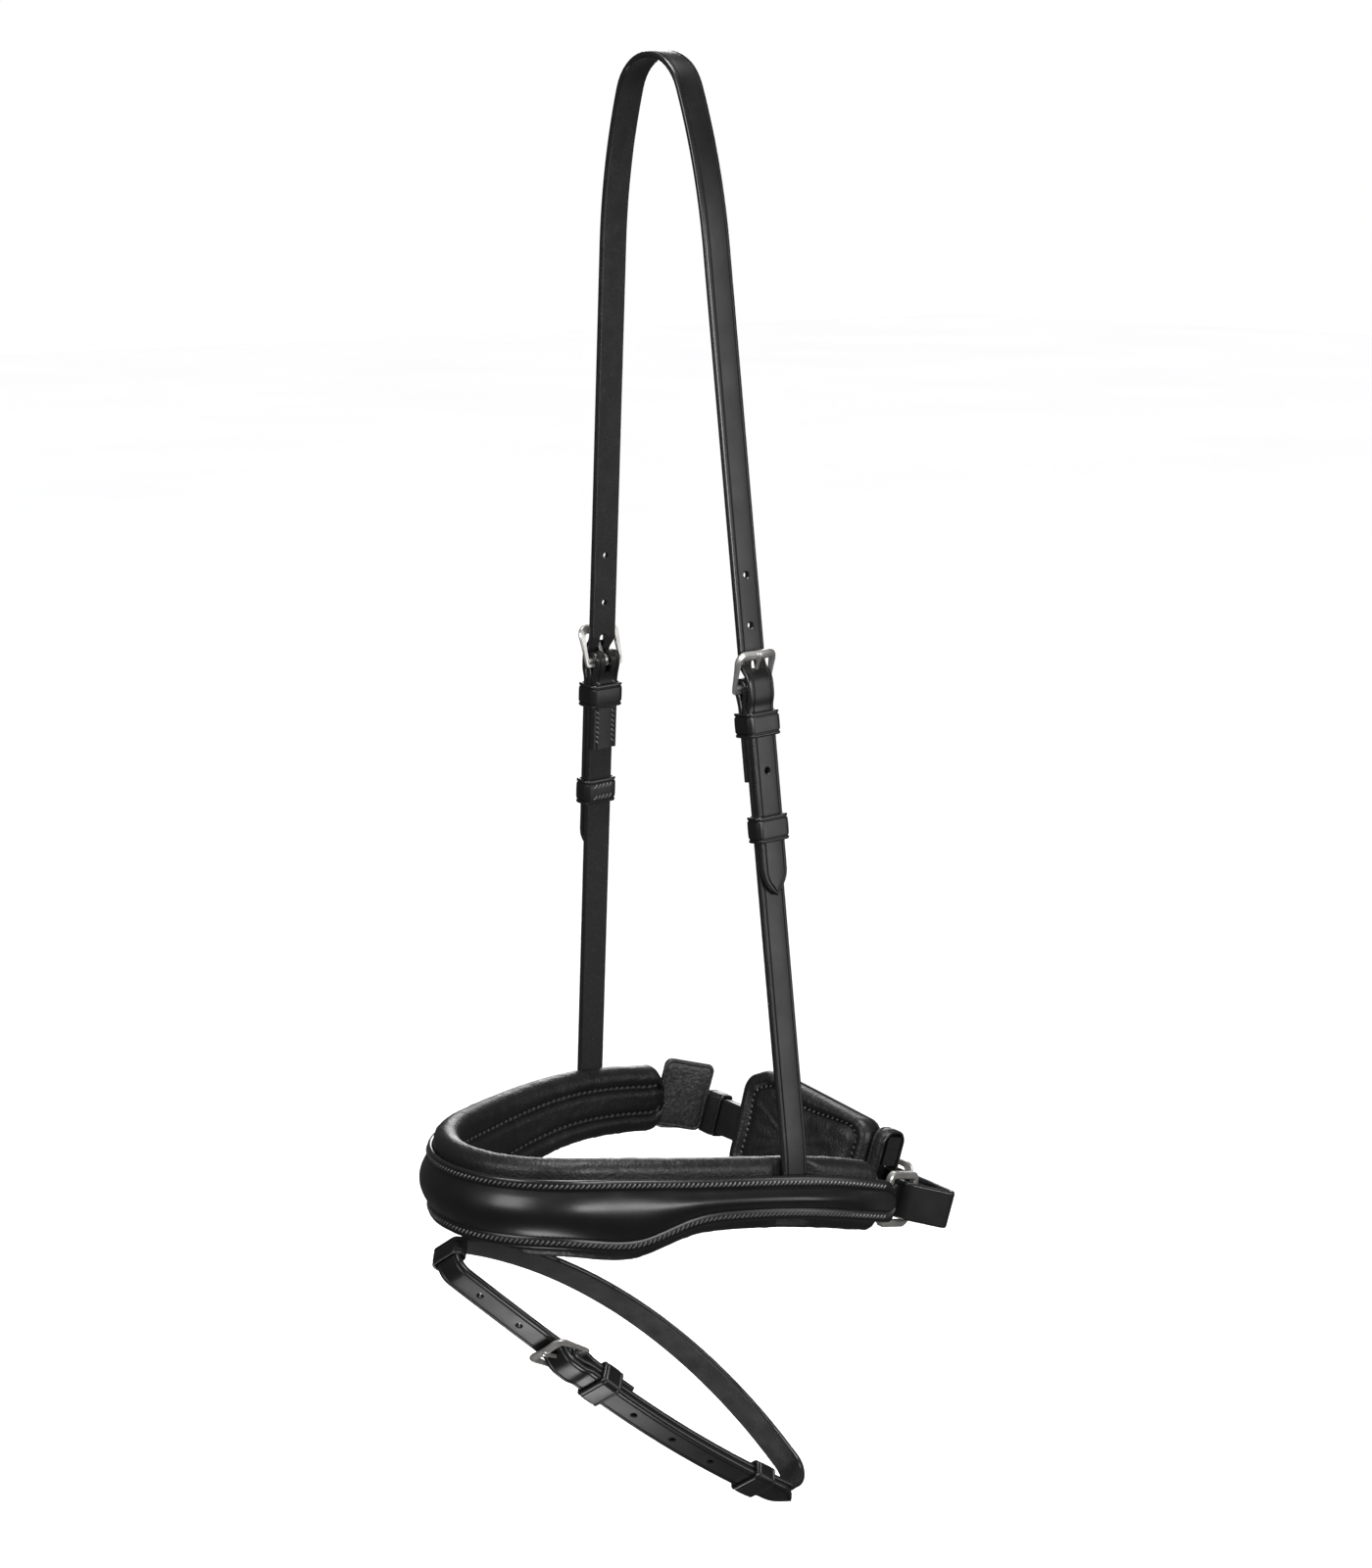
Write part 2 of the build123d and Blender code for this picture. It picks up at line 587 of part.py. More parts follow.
def build_jaw_pad():
    cover_back = PAD_BACK - PAD_PLATE - 0.1
    front = PAD_BACK - PAD_THICK
    cavity = pad_slab(PAD_SKIN, front + PAD_SKIN, cover_back + 1)
    far_top = CRANK_LEVEL + 2 * CRANK_THICK + LAYER_GAP + 0.4
    far_low = PAD_BACK + LOOP_WALL + 0.05
    return {
        "jaw_pad_back": pad_slab(0, PAD_BACK - PAD_PLATE, PAD_BACK),
        "jaw_pad_cover": pad_slab(0, front, cover_back) - cavity,
        "jaw_pad_foam": pad_slab(PAD_SKIN + 0.1, front + PAD_SKIN + 0.1, cover_back),
        "jaw_pad_near_loop": tunnel(*NEAR_LOOP, *NEAR_LOOP_SPACE[0], *NEAR_LOOP_SPACE[1]),
        "jaw_pad_far_loop": tunnel(*FAR_LOOP, far_low, far_top, -FAR_LOOP_HALF, FAR_LOOP_HALF),
    }


for name, solid in build_jaw_pad().items():
    nodes[name] = crank_plane.location * solid


# ---- Far end flap over the far ring ----
flap = Box(FLAP_SIZE[0], FLAP_SIZE[1], FLAP_SIZE[2])
flap = fillet(flap.edges().filter_by(Axis.X), 3.0)
nodes["far_ring_flap"] = crank_plane.location * (Pos(*FLAP_PLACE) * (Rot(0, 0, -FLAP_TURN) * flap))


# ---- Flash strap ----
flash_plane = Plane(origin=FLASH_ORIGIN, x_dir=FLASH_ALONG,
                    z_dir=Vector(*FLASH_ALONG).cross(Vector(*FLASH_SIDE)))
flash_start = math.radians(FLASH_START_HEADING)
loop_exit = (FLASH_END_RADIUS * (1 - math.sin(flash_start)), FLASH_END_RADIUS * math.cos(flash_start))
upper_near = route(loop_exit, FLASH_START_HEADING,
                   [("arc", FLASH_UPPER_RADIUS, -FLASH_UPPER_TURN), ("line", RISE_START)])
flash_bar, flash_heading = end_of(upper_near)
lower_near = route(flash_bar, flash_heading,
                   [("line", SETTLE), ("arc", FLASH_LOWER_RADIUS, -FLASH_LOWER_TURN)])


def far_strand_turns():
    """Right turns of the lower end, the far strand and the loop end that close the strap's ring."""
    (x, y), heading = end_of(lower_near)
    angle = math.radians(heading)
    radius = FLASH_END_RADIUS
    low = (x + radius * math.sin(angle), y - radius * math.cos(angle))
    high = (radius, 0)
    half = math.dist(low, high) / 2
    depth = math.sqrt((FLASH_FAR_RADIUS - radius) ** 2 - half ** 2)
    along = ((low[0] - high[0]) / (2 * half), (low[1] - high[1]) / (2 * half))
    centre = ((low[0] + high[0]) / 2 - along[1] * depth, (low[1] + high[1]) / 2 + along[0] * depth)
    leave = math.degrees(math.atan2(low[1] - centre[1], low[0] - centre[0])) - 90
    arrive = math.degrees(math.atan2(high[1] - centre[1], high[0] - centre[0])) - 90
    return (heading - leave) % 360, (leave - arrive) % 360, (arrive - FLASH_START_HEADING) % 360


def flash_route():
    """Tail, fold, under layer, lower turn, far strand, loop turn, and billet down to its tip."""
    lower_turn, far_turn, loop_turn = far_strand_turns()
    around = [
        ("arc", FLASH_LOWER_RADIUS, -FLASH_LOWER_TURN),
        ("arc", FLASH_END_RADIUS, -lower_turn),
        ("arc", FLASH_FAR_RADIUS, -far_turn),
        ("arc", FLASH_END_RADIUS, -loop_turn),
        ("arc", FLASH_UPPER_RADIUS, -FLASH_UPPER_TURN),
    ]
    tail = [("arc", FLASH_LOWER_RADIUS, -math.degrees((FLASH_TAIL - SETTLE) / FLASH_LOWER_RADIUS))]
    outer = FLASH_LOWER_RADIUS + STACK
    billet = [("arc", outer, -math.degrees((FLASH_BILLET - SETTLE) / outer))]
    legs = chape(STRAP_THICK, tail, around + billet_moves(STRAP_THICK) + billet)
    return set_at(legs, flash_bar, flash_heading)


def flash_spot(s):
    """Location on the near strand at a distance from the buckle's bar, in the base line's level."""
    strand = upper_near + lower_near
    to_bar = sum(leg[3] for leg in upper_near)
    return spot(*place_along(strand, to_bar + s))


def build_flash_strap():
    legs = flash_route()
    strap = ribbon(legs, 0.0, STRAP_THICK, STRAP_WIDTH) - flash_spot(0) * fold_slot()
    strap = strap - spot(*end_of(legs)) * tip_cutter(STRAP_WIDTH, (-0.2, STRAP_THICK + 2))
    strap = strap - flash_spot(-HOLE_IN_USE) * punched_hole((-1, OUTSIDE + 1), USED_HOLE_LENGTH)
    for count in (-2, -1):
        place = flash_spot(-HOLE_IN_USE + count * FLASH_PITCH)
        strap = strap - place * punched_hole((-1, STRAP_THICK + 1))
    for count in (1, 2, 3, 4):
        place = flash_spot(-HOLE_IN_USE + count * FLASH_PITCH)
        strap = strap - place * punched_hole((STACK + 0.9, OUTSIDE + 2))
    return strap


def build_flash_parts():
    """Strap, buckle, keepers, and the doubled loop under the nose that carries the strap."""
    loop = keeper(FLASH_LOOP_LENGTH, FLASH_LOOP_BACK, STRAP_THICK, STRAP_WIDTH, FLASH_LOOP_WALL)
    fixed = keeper(KEEPER_LENGTH, -STRAP_THICK - 0.05, OUTSIDE, STRAP_WIDTH)
    return {
        "flash_strap": build_flash_strap(),
        "flash_buckle_frame": flash_spot(0) * buckle_frame(STRAP_WIDTH),
        "flash_buckle_tongue": flash_spot(0) * buckle_tongue(),
        "flash_fixed_keeper": flash_spot(FLASH_KEEPER) * fixed,
        "flash_runner": flash_spot(FLASH_RUNNER) * keeper(RUNNER_LENGTH, -0.05, OUTSIDE, STRAP_WIDTH),
        "flash_loop": spot((0, 0), 90) * loop,
    }


for name, solid in build_flash_parts().items():
    nodes[name] = flash_plane.location * solid

# Tab stitched between facing and lining, which the flash loop hangs from, and the room it takes.
nodes["flash_loop_tab"] = Pos(*TAB_PLACE) * Box(*TAB_SIZE)
tab_pocket = Pos(*TAB_PLACE) * Box(TAB_SIZE[0] + 0.4, TAB_SIZE[1] + 0.3, TAB_SIZE[2] + 0.4)
loop_room = Pos(*LOOP_ROOM_PLACE) * Box(*LOOP_ROOM)
for name in ("noseband_lining", "noseband_foam"):
    cut = nodes[name] - tab_pocket - loop_room
    nodes[name] = cut.solids().sort_by(SortBy.VOLUME)[-1]

os.makedirs("parts", exist_ok=True)
for name, solid in nodes.items():
    export_step(solid, "parts/" + name + ".step")
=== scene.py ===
import math
import bmesh
import bpy
from mathutils import Matrix, Vector, noise
from mathutils.bvhtree import BVHTree


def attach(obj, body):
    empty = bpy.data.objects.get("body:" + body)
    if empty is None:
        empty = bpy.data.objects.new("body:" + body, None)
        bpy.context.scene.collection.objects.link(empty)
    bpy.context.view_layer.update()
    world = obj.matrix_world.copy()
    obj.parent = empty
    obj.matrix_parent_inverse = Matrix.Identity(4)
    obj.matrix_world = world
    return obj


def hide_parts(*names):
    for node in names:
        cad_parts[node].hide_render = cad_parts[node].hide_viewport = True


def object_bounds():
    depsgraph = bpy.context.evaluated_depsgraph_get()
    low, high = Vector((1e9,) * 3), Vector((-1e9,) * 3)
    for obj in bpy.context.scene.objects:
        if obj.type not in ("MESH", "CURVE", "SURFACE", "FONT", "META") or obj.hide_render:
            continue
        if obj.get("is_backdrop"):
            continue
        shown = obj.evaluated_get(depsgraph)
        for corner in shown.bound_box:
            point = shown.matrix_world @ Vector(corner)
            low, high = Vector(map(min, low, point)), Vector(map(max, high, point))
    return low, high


# A black leather combined noseband with a crank closure, on its headpiece strap.
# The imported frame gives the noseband's upper and lower edge; straps follow the frame's own flat routes.
# Lengths are millimetres in the row frame, and meshes are made in metres.
# The floor, the lamps and the camera are placed in metres.

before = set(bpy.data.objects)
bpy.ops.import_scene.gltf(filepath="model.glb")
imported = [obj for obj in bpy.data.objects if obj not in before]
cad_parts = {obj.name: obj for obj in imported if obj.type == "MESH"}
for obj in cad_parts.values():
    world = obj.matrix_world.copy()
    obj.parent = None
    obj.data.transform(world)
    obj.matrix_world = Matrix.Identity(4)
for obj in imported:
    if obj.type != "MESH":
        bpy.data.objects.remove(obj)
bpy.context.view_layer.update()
MM = 0.001

# ---- Straps and fittings, as in the frame ----
STRAP_WIDTH = 13.0
STRAP_THICK = 2.4
CRANK_WIDTH = 16.0
CRANK_THICK = 2.6
LAYER_GAP = 0.25
LIFT = 0.05
HOLE_RADIUS = 1.25
HOLE_PITCH = 20.0
TIP_LENGTH = 11.0
TIP_POWER = 2.34
BAR_RADIUS = 1.2
FOLD_RADIUS = BAR_RADIUS + 0.15
BUCKLE_FRONT = 13.4
FRAME_TILT = 19.0
TONGUE_TILT = 28.0
TONGUE_SLOT = (10, 10, 3.2)
USED_HOLE_LENGTH = 8.6
USED_HOLE_RADIUS = 1.6
HOLE_IN_USE = 6.2
HOLE_ABOVE = 24.2
RISE_START = 10.5
CREST = 3.0
SETTLE = 9.0
KEEPER_LENGTH = 10.0
RUNNER_LENGTH = 10.6
KEEPER_WALL = 1.5
KEEPER_GAP = 0.3
STACK = LIFT + STRAP_THICK + LAYER_GAP
OUTSIDE = STACK + STRAP_THICK
SINGLE_LAYER = (LIFT, STRAP_THICK + LIFT)
USED_HOLE_LEVELS = (0.4, STRAP_THICK + 0.6)

# ---- Headpiece and cheek pieces ----
CROWN_LEAN = 2.0
CROWN_ARCH = [("arc", 18.2, -70.0), ("arc", 248.7, -14.6)]
BAR_DROP = 245.2
BILLET_LENGTH = 84.2
CHEEK_FIXED_KEEPER = 15.0
CHEEK_RUNNER = 57.0
CHEEK_TAIL = 38.0
CHEEK_DROP = 183.8
CHEEK_EASE = 150.0
CHEEK_END = {"near": 14.0, "far": 1.0}

# ---- Noseband ----
NOSE_FRONT = -104.0
NEAR_SWEEP = [("arc", 51.6, 68.0), ("arc", 300.0, 27.2)]
FAR_SWEEP = [("arc", 51.6, -68.0), ("arc", 300.0, -23.7)]
FACING_THICK = 2.4
FACING_RISE = 3.5
FACING_CORNER = 5.0
DOME_START = 9.0
DOME_RUN = 40.0
LINING_THICK = 11.0
LINING_SHORT = 5.2
LINING_PAST = 3.2
LINING_SEAMS = (0.3, 0.7)
BORDER = 5.2
POCKET_Y = 15.4
POCKET_HALF = 7.5
FLASH_ROOM = 20.0
RAY_START = -600.0
ROLL_ABOVE = 6.5
ROLL_BELOW = 5.0
POCKET_DEPTH = 2.9

# ---- Crank closure ----
CRANK_ORIGIN = (0, 80, -461.5)
CRANK_ALONG = (0.983, 0.13, -0.13)
CRANK_UP = (0.096, 0.24, 0.966)
RING_REACH = 17.0
RING_WIRE = 3.0
RING_FOLD = 2.4
RING_FRONT = {"near": (62.1, -20.5), "far": (-70.5, -14.0)}
RING_HEAD = {"near": -94.5, "far": -98.8}
RING_CORNER = 2.2
RING_SETTLE = 7.0
RING_CHAPE_WIDTH = 14.0
RING_CHAPE_THICK = 1.4
CRANK_LEVEL = 0.4
CRANK_LAID = CRANK_LEVEL + CRANK_THICK + LAYER_GAP
CRANK_TOP = CRANK_LEVEL + 2 * CRANK_THICK + LAYER_GAP
CRANK_KEEPER_WALL = 1.2
CRANK_BAR = 36.0
CRANK_BAR_LEVEL = 6.3
CRANK_DIP = 43.0
CRANK_LOOP = [("arc", 11.0, -55), ("line", 4.0), ("arc", 8.5, 105), ("line", 14.0), ("arc", 3.3, 130)]
CRANK_KINK = 14.0
CRANK_SLOPE = (29.0, 16.0)
CHAPE_THICK = 1.8
CHAPE_TAIL = 25.0
CRANK_FIXED_KEEPER = 15.0
CRANK_RUNNER = -54.0
CRANK_TIP = -60.0
FLAP_SIZE = (2.4, 24.0, 30.5)
FLAP_PLACE = (-62.6, -11.9, 5.7)
FLAP_TURN = 25.6

# ---- Jaw pad ----
PAD_OUTLINE = [(-31, -13), (-25, -19), (10, -18), (40, -13), (40, 25), (-22, 30), (-32, 24)]
PAD_BACK = -1.6
PAD_PLATE = 1.5
PAD_THICK = 11.0
NEAR_LOOP = (41.0, 47.5)
NEAR_LOOP_SPACE = ((-9.5, 3.3), (-9.0, 23.5))
FAR_LOOP = (-28.0, -20.0)

# ---- Flash strap ----
FLASH_ORIGIN = (-3.8, -105.3, -469.3)
FLASH_ALONG = (0.184, 0.788, -0.588)
FLASH_SIDE = (0.596, -0.565, -0.570)
FLASH_START_HEADING = 9.0
FLASH_END_RADIUS = 7.0
FLASH_UPPER = (2000.0, 1.44)
FLASH_LOWER = (450.0, 14.2)
FLASH_FAR_RADIUS = 196.0
FLASH_PITCH = 21.5
FLASH_TAIL = 30.0
FLASH_BILLET = 127.5
FLASH_KEEPER = 17.5
FLASH_RUNNER = 104.5

# ---- Finish of the leather work ----
EDGE_ROUND = 0.95
CREASE_IN = 2.1
CREASE_DEPTH = 0.42
CROWN_OF_FACE = 0.1
STITCH_PITCH = 2.1
STITCH_LENGTH = 2.4
STITCH_RADIUS = 0.42
STITCH_SLANT = 45.0
SHARP_ANGLE = 35.0


def clamp(value, low=0.0, high=1.0):
    return min(max(value, low), high)


def smooth(value):
    value = clamp(value)
    return value * value * (3 - 2 * value)


# ---- Flat routes: a leg is (x, y, heading in radians, length, curvature), left turns positive ----
def leg_point(leg, s, t=0.0):
    """Point at distance s along a leg and t to its left."""
    x, y, heading, _, bend = leg
    if abs(bend) < 1e-9:
        return (x + s * math.cos(heading) - t * math.sin(heading),
                y + s * math.sin(heading) + t * math.cos(heading))
    centre = (x - math.sin(heading) / bend, y + math.cos(heading) / bend)
    angle = heading + bend * s
    reach = t - 1 / bend
    return (centre[0] - reach * math.sin(angle), centre[1] + reach * math.cos(angle))


def route(start, heading, moves):
    """Legs of a route from its moves: ("line", length) or ("arc", radius, degrees)."""
    legs = []
    x, y = start
    angle = math.radians(heading)
    for move in moves:
        if move[0] == "line":
            leg = (x, y, angle, move[1], 0.0)
        else:
            turn = math.radians(move[2])
            leg = (x, y, angle, abs(turn) * move[1], math.copysign(1 / move[1], turn))
        legs.append(leg)
        x, y = leg_point(leg, leg[3])
        angle += leg[3] * leg[4]
    return legs


def end_of(legs):
    """Place and heading in degrees where a route ends."""
    return place_along(legs[-1:], legs[-1][3])


def place_along(legs, s):
    """Place and heading in degrees at distance s along a route, or past its end."""
    for leg in legs:
        if s <= leg[3] or leg is legs[-1]:
            return leg_point(leg, s), math.degrees(leg[2] + s * leg[4])
        s -= leg[3]


def turned_back(legs):
    """The same route walked from its end to its start."""
    back = []
    for leg in reversed(legs):
        x, y = leg_point(leg, leg[3])
        back.append((x, y, leg[2] + leg[3] * leg[4] + math.pi, leg[3], -leg[4]))
    return back


def s_bend(run, rise):
    """Two equal arcs that step a route sideways by rise over a run."""
    turn = 2 * math.atan(abs(rise) / run)
    radius = run / (2 * math.sin(turn))
    degrees = math.degrees(math.copysign(turn, rise))
    return [("arc", radius, degrees), ("arc", radius, -degrees)]


def set_at(legs, place, heading):
    """A local route moved to a place and heading of a larger one."""
    angle = math.radians(heading)
    moved = []
    for x, y, leg_heading, length, bend in legs:
        px = place[0] + x * math.cos(angle) - y * math.sin(angle)
        py = place[1] + x * math.sin(angle) + y * math.cos(angle)
        moved.append((px, py, leg_heading + angle, length, bend))
    return moved


def folded(radius, tail_moves, outer_moves, bar=(0, 0)):
    """Strap folded round a bar: tail below it, fold, and outer layer above it."""
    x, y = bar
    tail = turned_back(route((x, y - radius), 0, tail_moves))
    fold = route((x, y - radius), 180, [("arc", radius, -180)])
    return tail + fold + route((x, y + radius), 0, outer_moves)


def chape(tail_moves, after):
    """Strap end folded round a buckle's bar and settled on the strap's own level."""
    drop = FOLD_RADIUS - LIFT
    return folded(FOLD_RADIUS, s_bend(SETTLE, drop) + tail_moves, s_bend(SETTLE, -drop) + after)


def over_fold(rise, fall):
    """Step up over a folded strap end, cross its crest and come down behind it."""
    return s_bend(RISE_START - 0.5, rise) + [("line", CREST)] + s_bend(SETTLE - CREST + 0.5, fall)


def billet_moves(thick_below):
    """Way of a billet over the folded end, down to the layer below it."""
    crest = FOLD_RADIUS + thick_below + LAYER_GAP
    level = LIFT + thick_below + LAYER_GAP
    return over_fold(crest - LIFT, level - crest)


def plane(origin, x_dir, z_dir):
    """Matrix of a flat frame from its origin, X direction and normal."""
    x = Vector(x_dir).normalized()
    z = Vector(z_dir).normalized()
    y = z.cross(x)
    columns = Matrix((x, y, z)).transposed().to_4x4()
    return Matrix.Translation(Vector(origin)) @ columns


def turn_about(axis, degrees):
    """Rotation matrix about one local axis."""
    return Matrix.Rotation(math.radians(degrees), 4, axis)


def spot(place, heading=0.0, flip=False):
    """Matrix of a fitting on a route: local X along the strap, Y outward, Z across its width."""
    turned = turn_about("Y", 180 if flip else 0) @ turn_about("Z", heading)
    return Matrix.Translation((place[0], place[1], 0)) @ turned


MIRROR = Matrix.Diagonal((-1, 1, 1, 1))
lean = math.radians(CROWN_LEAN)
CROWN = plane((0, 0, 0), (1, 0, 0), (0, -math.cos(lean), -math.sin(lean)))
CRANK = plane(CRANK_ORIGIN, CRANK_ALONG, CRANK_UP)
FLASH = plane(FLASH_ORIGIN, FLASH_ALONG, Vector(FLASH_ALONG).cross(Vector(FLASH_SIDE)))
SIDES = {"near": CROWN, "far": MIRROR @ CROWN}


# ---- Materials, all worked out from the object's own coordinates ----
class Shader:
    """A principled material and the nodes that feed it."""

    def __init__(self, name, colour, roughness, metallic=0.0, coat=0.0, coat_roughness=0.3):
        self.material = bpy.data.materials.new(name)
        self.material.use_nodes = True
        self.nodes = self.material.node_tree.nodes
        self.links = self.material.node_tree.links
        self.shader = self.nodes["Principled BSDF"]
        self.place = self.nodes.new("ShaderNodeTexCoord").outputs["Object"]
        self.height = None
        self.fill(self.shader, {"Base Color": (*colour, 1), "Roughness": roughness, "Metallic": metallic,
                                "Coat Weight": coat, "Coat Roughness": coat_roughness})

    def fill(self, node, inputs):
        """Set a node's inputs to values, or link them to sockets."""
        for name, value in inputs.items():
            if isinstance(value, bpy.types.NodeSocket):
                self.links.new(value, node.inputs[name])
            else:
                node.inputs[name].default_value = value

    def add(self, kind, inputs, output):
        """New node with its inputs filled; gives one of its outputs."""
        node = self.nodes.new("ShaderNode" + kind)
        self.fill(node, inputs)
        return node.outputs[output]

    def noise(self, scale, detail=3.0, roughness=0.55, stretch=None):
        place = self.place
        if stretch is not None:
            place = self.add("Mapping", {"Scale": stretch, "Vector": place}, "Vector")
        inputs = {"Scale": scale, "Detail": detail, "Roughness": roughness, "Vector": place}
        return self.add("TexNoise", inputs, "Fac")

    def cells(self, scale):
        return self.add("TexVoronoi", {"Scale": scale, "Vector": self.place}, "Distance")

    def ranged(self, value, low, high, start=0.3, stop=0.7):
        inputs = {"Value": value, "From Min": start, "From Max": stop, "To Min": low, "To Max": high}
        return self.add("MapRange", inputs, "Result")

    def vary_colour(self, value, colour, start=0.35, stop=0.75):
        """Blend the base colour towards another where the value is high."""
        base = self.shader.inputs["Base Color"]
        node = self.nodes.new("ShaderNodeMix")
        node.data_type = "RGBA"
        self.links.new(self.ranged(value, 0.0, 1.0, start, stop), node.inputs["Factor"])
        node.inputs["A"].default_value = base.default_value
        node.inputs["B"].default_value = (*colour, 1)
        self.links.new(node.outputs["Result"], base)

    def vary_roughness(self, value, low, high):
        self.links.new(self.ranged(value, low, high), self.shader.inputs["Roughness"])

    def bump(self, value, depth):
        """Add a height of that many millimetres to the surface."""
        inputs = {"Strength": 1.0, "Distance": depth * MM, "Height": value}
        if self.height is not None:
            inputs["Normal"] = self.height
        self.height = self.add("Bump", inputs, "Normal")
        self.links.new(self.height, self.shader.inputs["Normal"])


def make_look(name, colour, roughness, tone, rough=None, bumps=(), sockets=None, **more):
    """Material with patches of a second tone, uneven roughness and bumps.

    tone is (noise, colour, range), rough is (noise, low, high), and noise is (scale, detail, roughness,
    stretch). A bump is (depth, noise) or (depth, scale of cells).
    """
    s = Shader(name, colour, roughness, **more)
    s.fill(s.shader, sockets or {})
    if tone:
        s.vary_colour(s.noise(*tone[0]), *tone[1:])
    if rough:
        s.vary_roughness(s.noise(*rough[0]), *rough[1:])
    for depth, source in bumps:
        s.bump(s.noise(*source) if isinstance(source, tuple) else s.cells(source), depth)
    return s.material


# Smooth, waxed outer face of bridle leather
GRAIN = make_look("grain_leather", (0.0080, 0.0078, 0.0080), 0.36, ((38, 4.0), (0.014, 0.0135, 0.0135)),
                  ((90, 4.0), 0.31, 0.43), [(0.02, (260, 3.0)), (0.009, (1500, 4.0, 0.65)), (0.005, 2600)],
                  coat=0.15, coat_roughness=0.28)

# Fine calf of the noseband's facing, glossier than the straps
POLISHED = make_look("facing_leather", (0.0065, 0.0063, 0.0065), 0.33, ((30, 4.0), (0.011, 0.0105, 0.0105)),
                     ((70, 4.0), 0.28, 0.38), [(0.05, (120, 3.0)), (0.008, (1300, 4.0, 0.6)), (0.004, 2300)],
                     coat=0.25, coat_roughness=0.22)

# Speckled back of the straps, with little gloss
FLESH = make_look("flesh_side", (0.011, 0.0105, 0.011), 0.6,
                  ((1100, 5.0, 0.7), (0.070, 0.066, 0.062), 0.54, 0.80), ((140, 3.0), 0.50, 0.68),
                  [(0.08, (900, 5.0, 0.7)), (0.06, (230, 3.0))],
                  {"Specular IOR Level": 0.45, "Sheen Weight": 0.15, "Sheen Roughness": 0.5})

# Glossy edge paint, slightly uneven
EDGE = make_look("painted_edge", (0.016, 0.016, 0.017), 0.24, None, ((160, 3.0), 0.20, 0.34),
                 [(0.025, (420, 3.0))], coat=0.6, coat_roughness=0.2)

# Soft, fine-grained padding leather with short wrinkles
SOFT = make_look("padding_leather", (0.0085, 0.0083, 0.0085), 0.42, ((45, 4.0), (0.015, 0.0145, 0.0145)),
                 ((110, 4.0), 0.36, 0.50),
                 [(0.16, (150, 3.0, 0.6)), (0.26, (420, 3.0, 0.6, (1.0, 1.0, 0.16))), (0.12, 900),
                  (0.02, (2100, 3.0))], coat=0.08, coat_roughness=0.35)

# Open-grained leather of the flap over the far ring; its base colour is set about three times lighter than
# the other leathers as a painted highlight
FLAP_PAINTED_SHEEN = make_look("flap_leather", (0.026, 0.0255, 0.026), 0.42,
                 ((500, 5.0, 0.7), (0.085, 0.083, 0.083), 0.45, 0.75), None,
                 [(0.30, (150, 3.0, 0.6)), (0.20, 760)], coat=0.15, coat_roughness=0.35)

# Waxed black thread whose base colour is set light grey as a painted glint, so the stitches show bright
THREAD_PAINTED_GLINT = make_look("thread_painted_glint", (0.10, 0.10, 0.103), 0.30, ((800, 2.0), (0.17, 0.17, 0.175)), None,
                   [(0.06, (5200, 2.0, 0.55, (1.0, 1.0, 0.25)))], coat=0.5)

# Satin stainless steel with a fine brushed finish
STEEL = make_look("satin_steel", (0.66, 0.645, 0.615), 0.34, ((60, 3.0), (0.74, 0.725, 0.70)),
                  ((240, 4.0), 0.28, 0.42),
                  [(0.003, (1900, 2.0, 0.55, (1.0, 0.12, 1.0))), (0.002, (500, 3.0))], metallic=0.85)

STRAP_LOOK = [GRAIN, FLESH, EDGE]
SOFT_LOOK = [SOFT, SOFT, EDGE]
PADDED_LOOK = [SOFT, SOFT, SOFT]
FACE, BACK, RIM = 0, 1, 2


# ---- Meshes ----
def tidy(mesh, angle=SHARP_ANGLE):
    """Point normals outward and smooth all but the sharp edges."""
    work = bmesh.new()
    work.from_mesh(mesh)
    bmesh.ops.remove_doubles(work, verts=work.verts, dist=1e-6)
    bmesh.ops.recalc_face_normals(work, faces=work.faces)
    work.to_mesh(mesh)
    work.free()
    mesh.shade_smooth()
    mesh.set_sharp_from_angle(angle=math.radians(angle))


def mesh_object(name, shape, looks, angle=SHARP_ANGLE):
    """Object in the scene from a shape: (points in millimetres, faces, look number of each face)."""
    points, faces, marks = shape
    mesh = bpy.data.meshes.new(name)
    mesh.from_pydata([Vector(p) * MM for p in points], [], faces)
    for look in looks:
        mesh.materials.append(look)
    mesh.polygons.foreach_set("material_index", marks)
    tidy(mesh, angle)
    made = bpy.data.objects.new(name, mesh)
    bpy.context.scene.collection.objects.link(made)
    return made


def piece(name, shape, looks, body, slot, *nodes, angle=SHARP_ANGLE):
    """Visible piece that rides on a body and may replace some of the frame's nodes."""
    made = mesh_object(name, shape, looks, angle)
    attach(made, body)
    if nodes:
        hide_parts(*nodes)
    return made


def leather(name, shape, body, node=None, looks=STRAP_LOOK):
    """Strap leather piece that replaces one node, the one of its own name unless another is given."""
    return piece(name + "_leather", shape, looks, body, "strap_leather", node or name)


def soft(name, shape, looks, body, *nodes, angle=60.0):
    """Padded or soft leather piece, shaded more smoothly."""
    return piece(name + "_leather", shape, looks, body, "soft_leather", *nodes, angle=angle)


def thread(name, lines, body, slot="strap_leather", pitch=STITCH_PITCH):
    """Stitches along the lines of one piece; they replace no node."""
    shape = joined([stitch_line(line, pitch) for line in lines])
    return piece(name + "_stitches", shape, [THREAD_PAINTED_GLINT], body, slot)


def joined(shapes):
    """Several shapes as one."""
    points, faces, marks = [], [], []
    for more_points, more_faces, more_marks in shapes:
        start = len(points)
        points += more_points
        faces += [tuple(start + i for i in face) for face in more_faces]
        marks += more_marks
    return points, faces, marks


def moved(shape, matrix):
    points, faces, marks = shape
    return [matrix @ Vector(p) for p in points], faces, marks


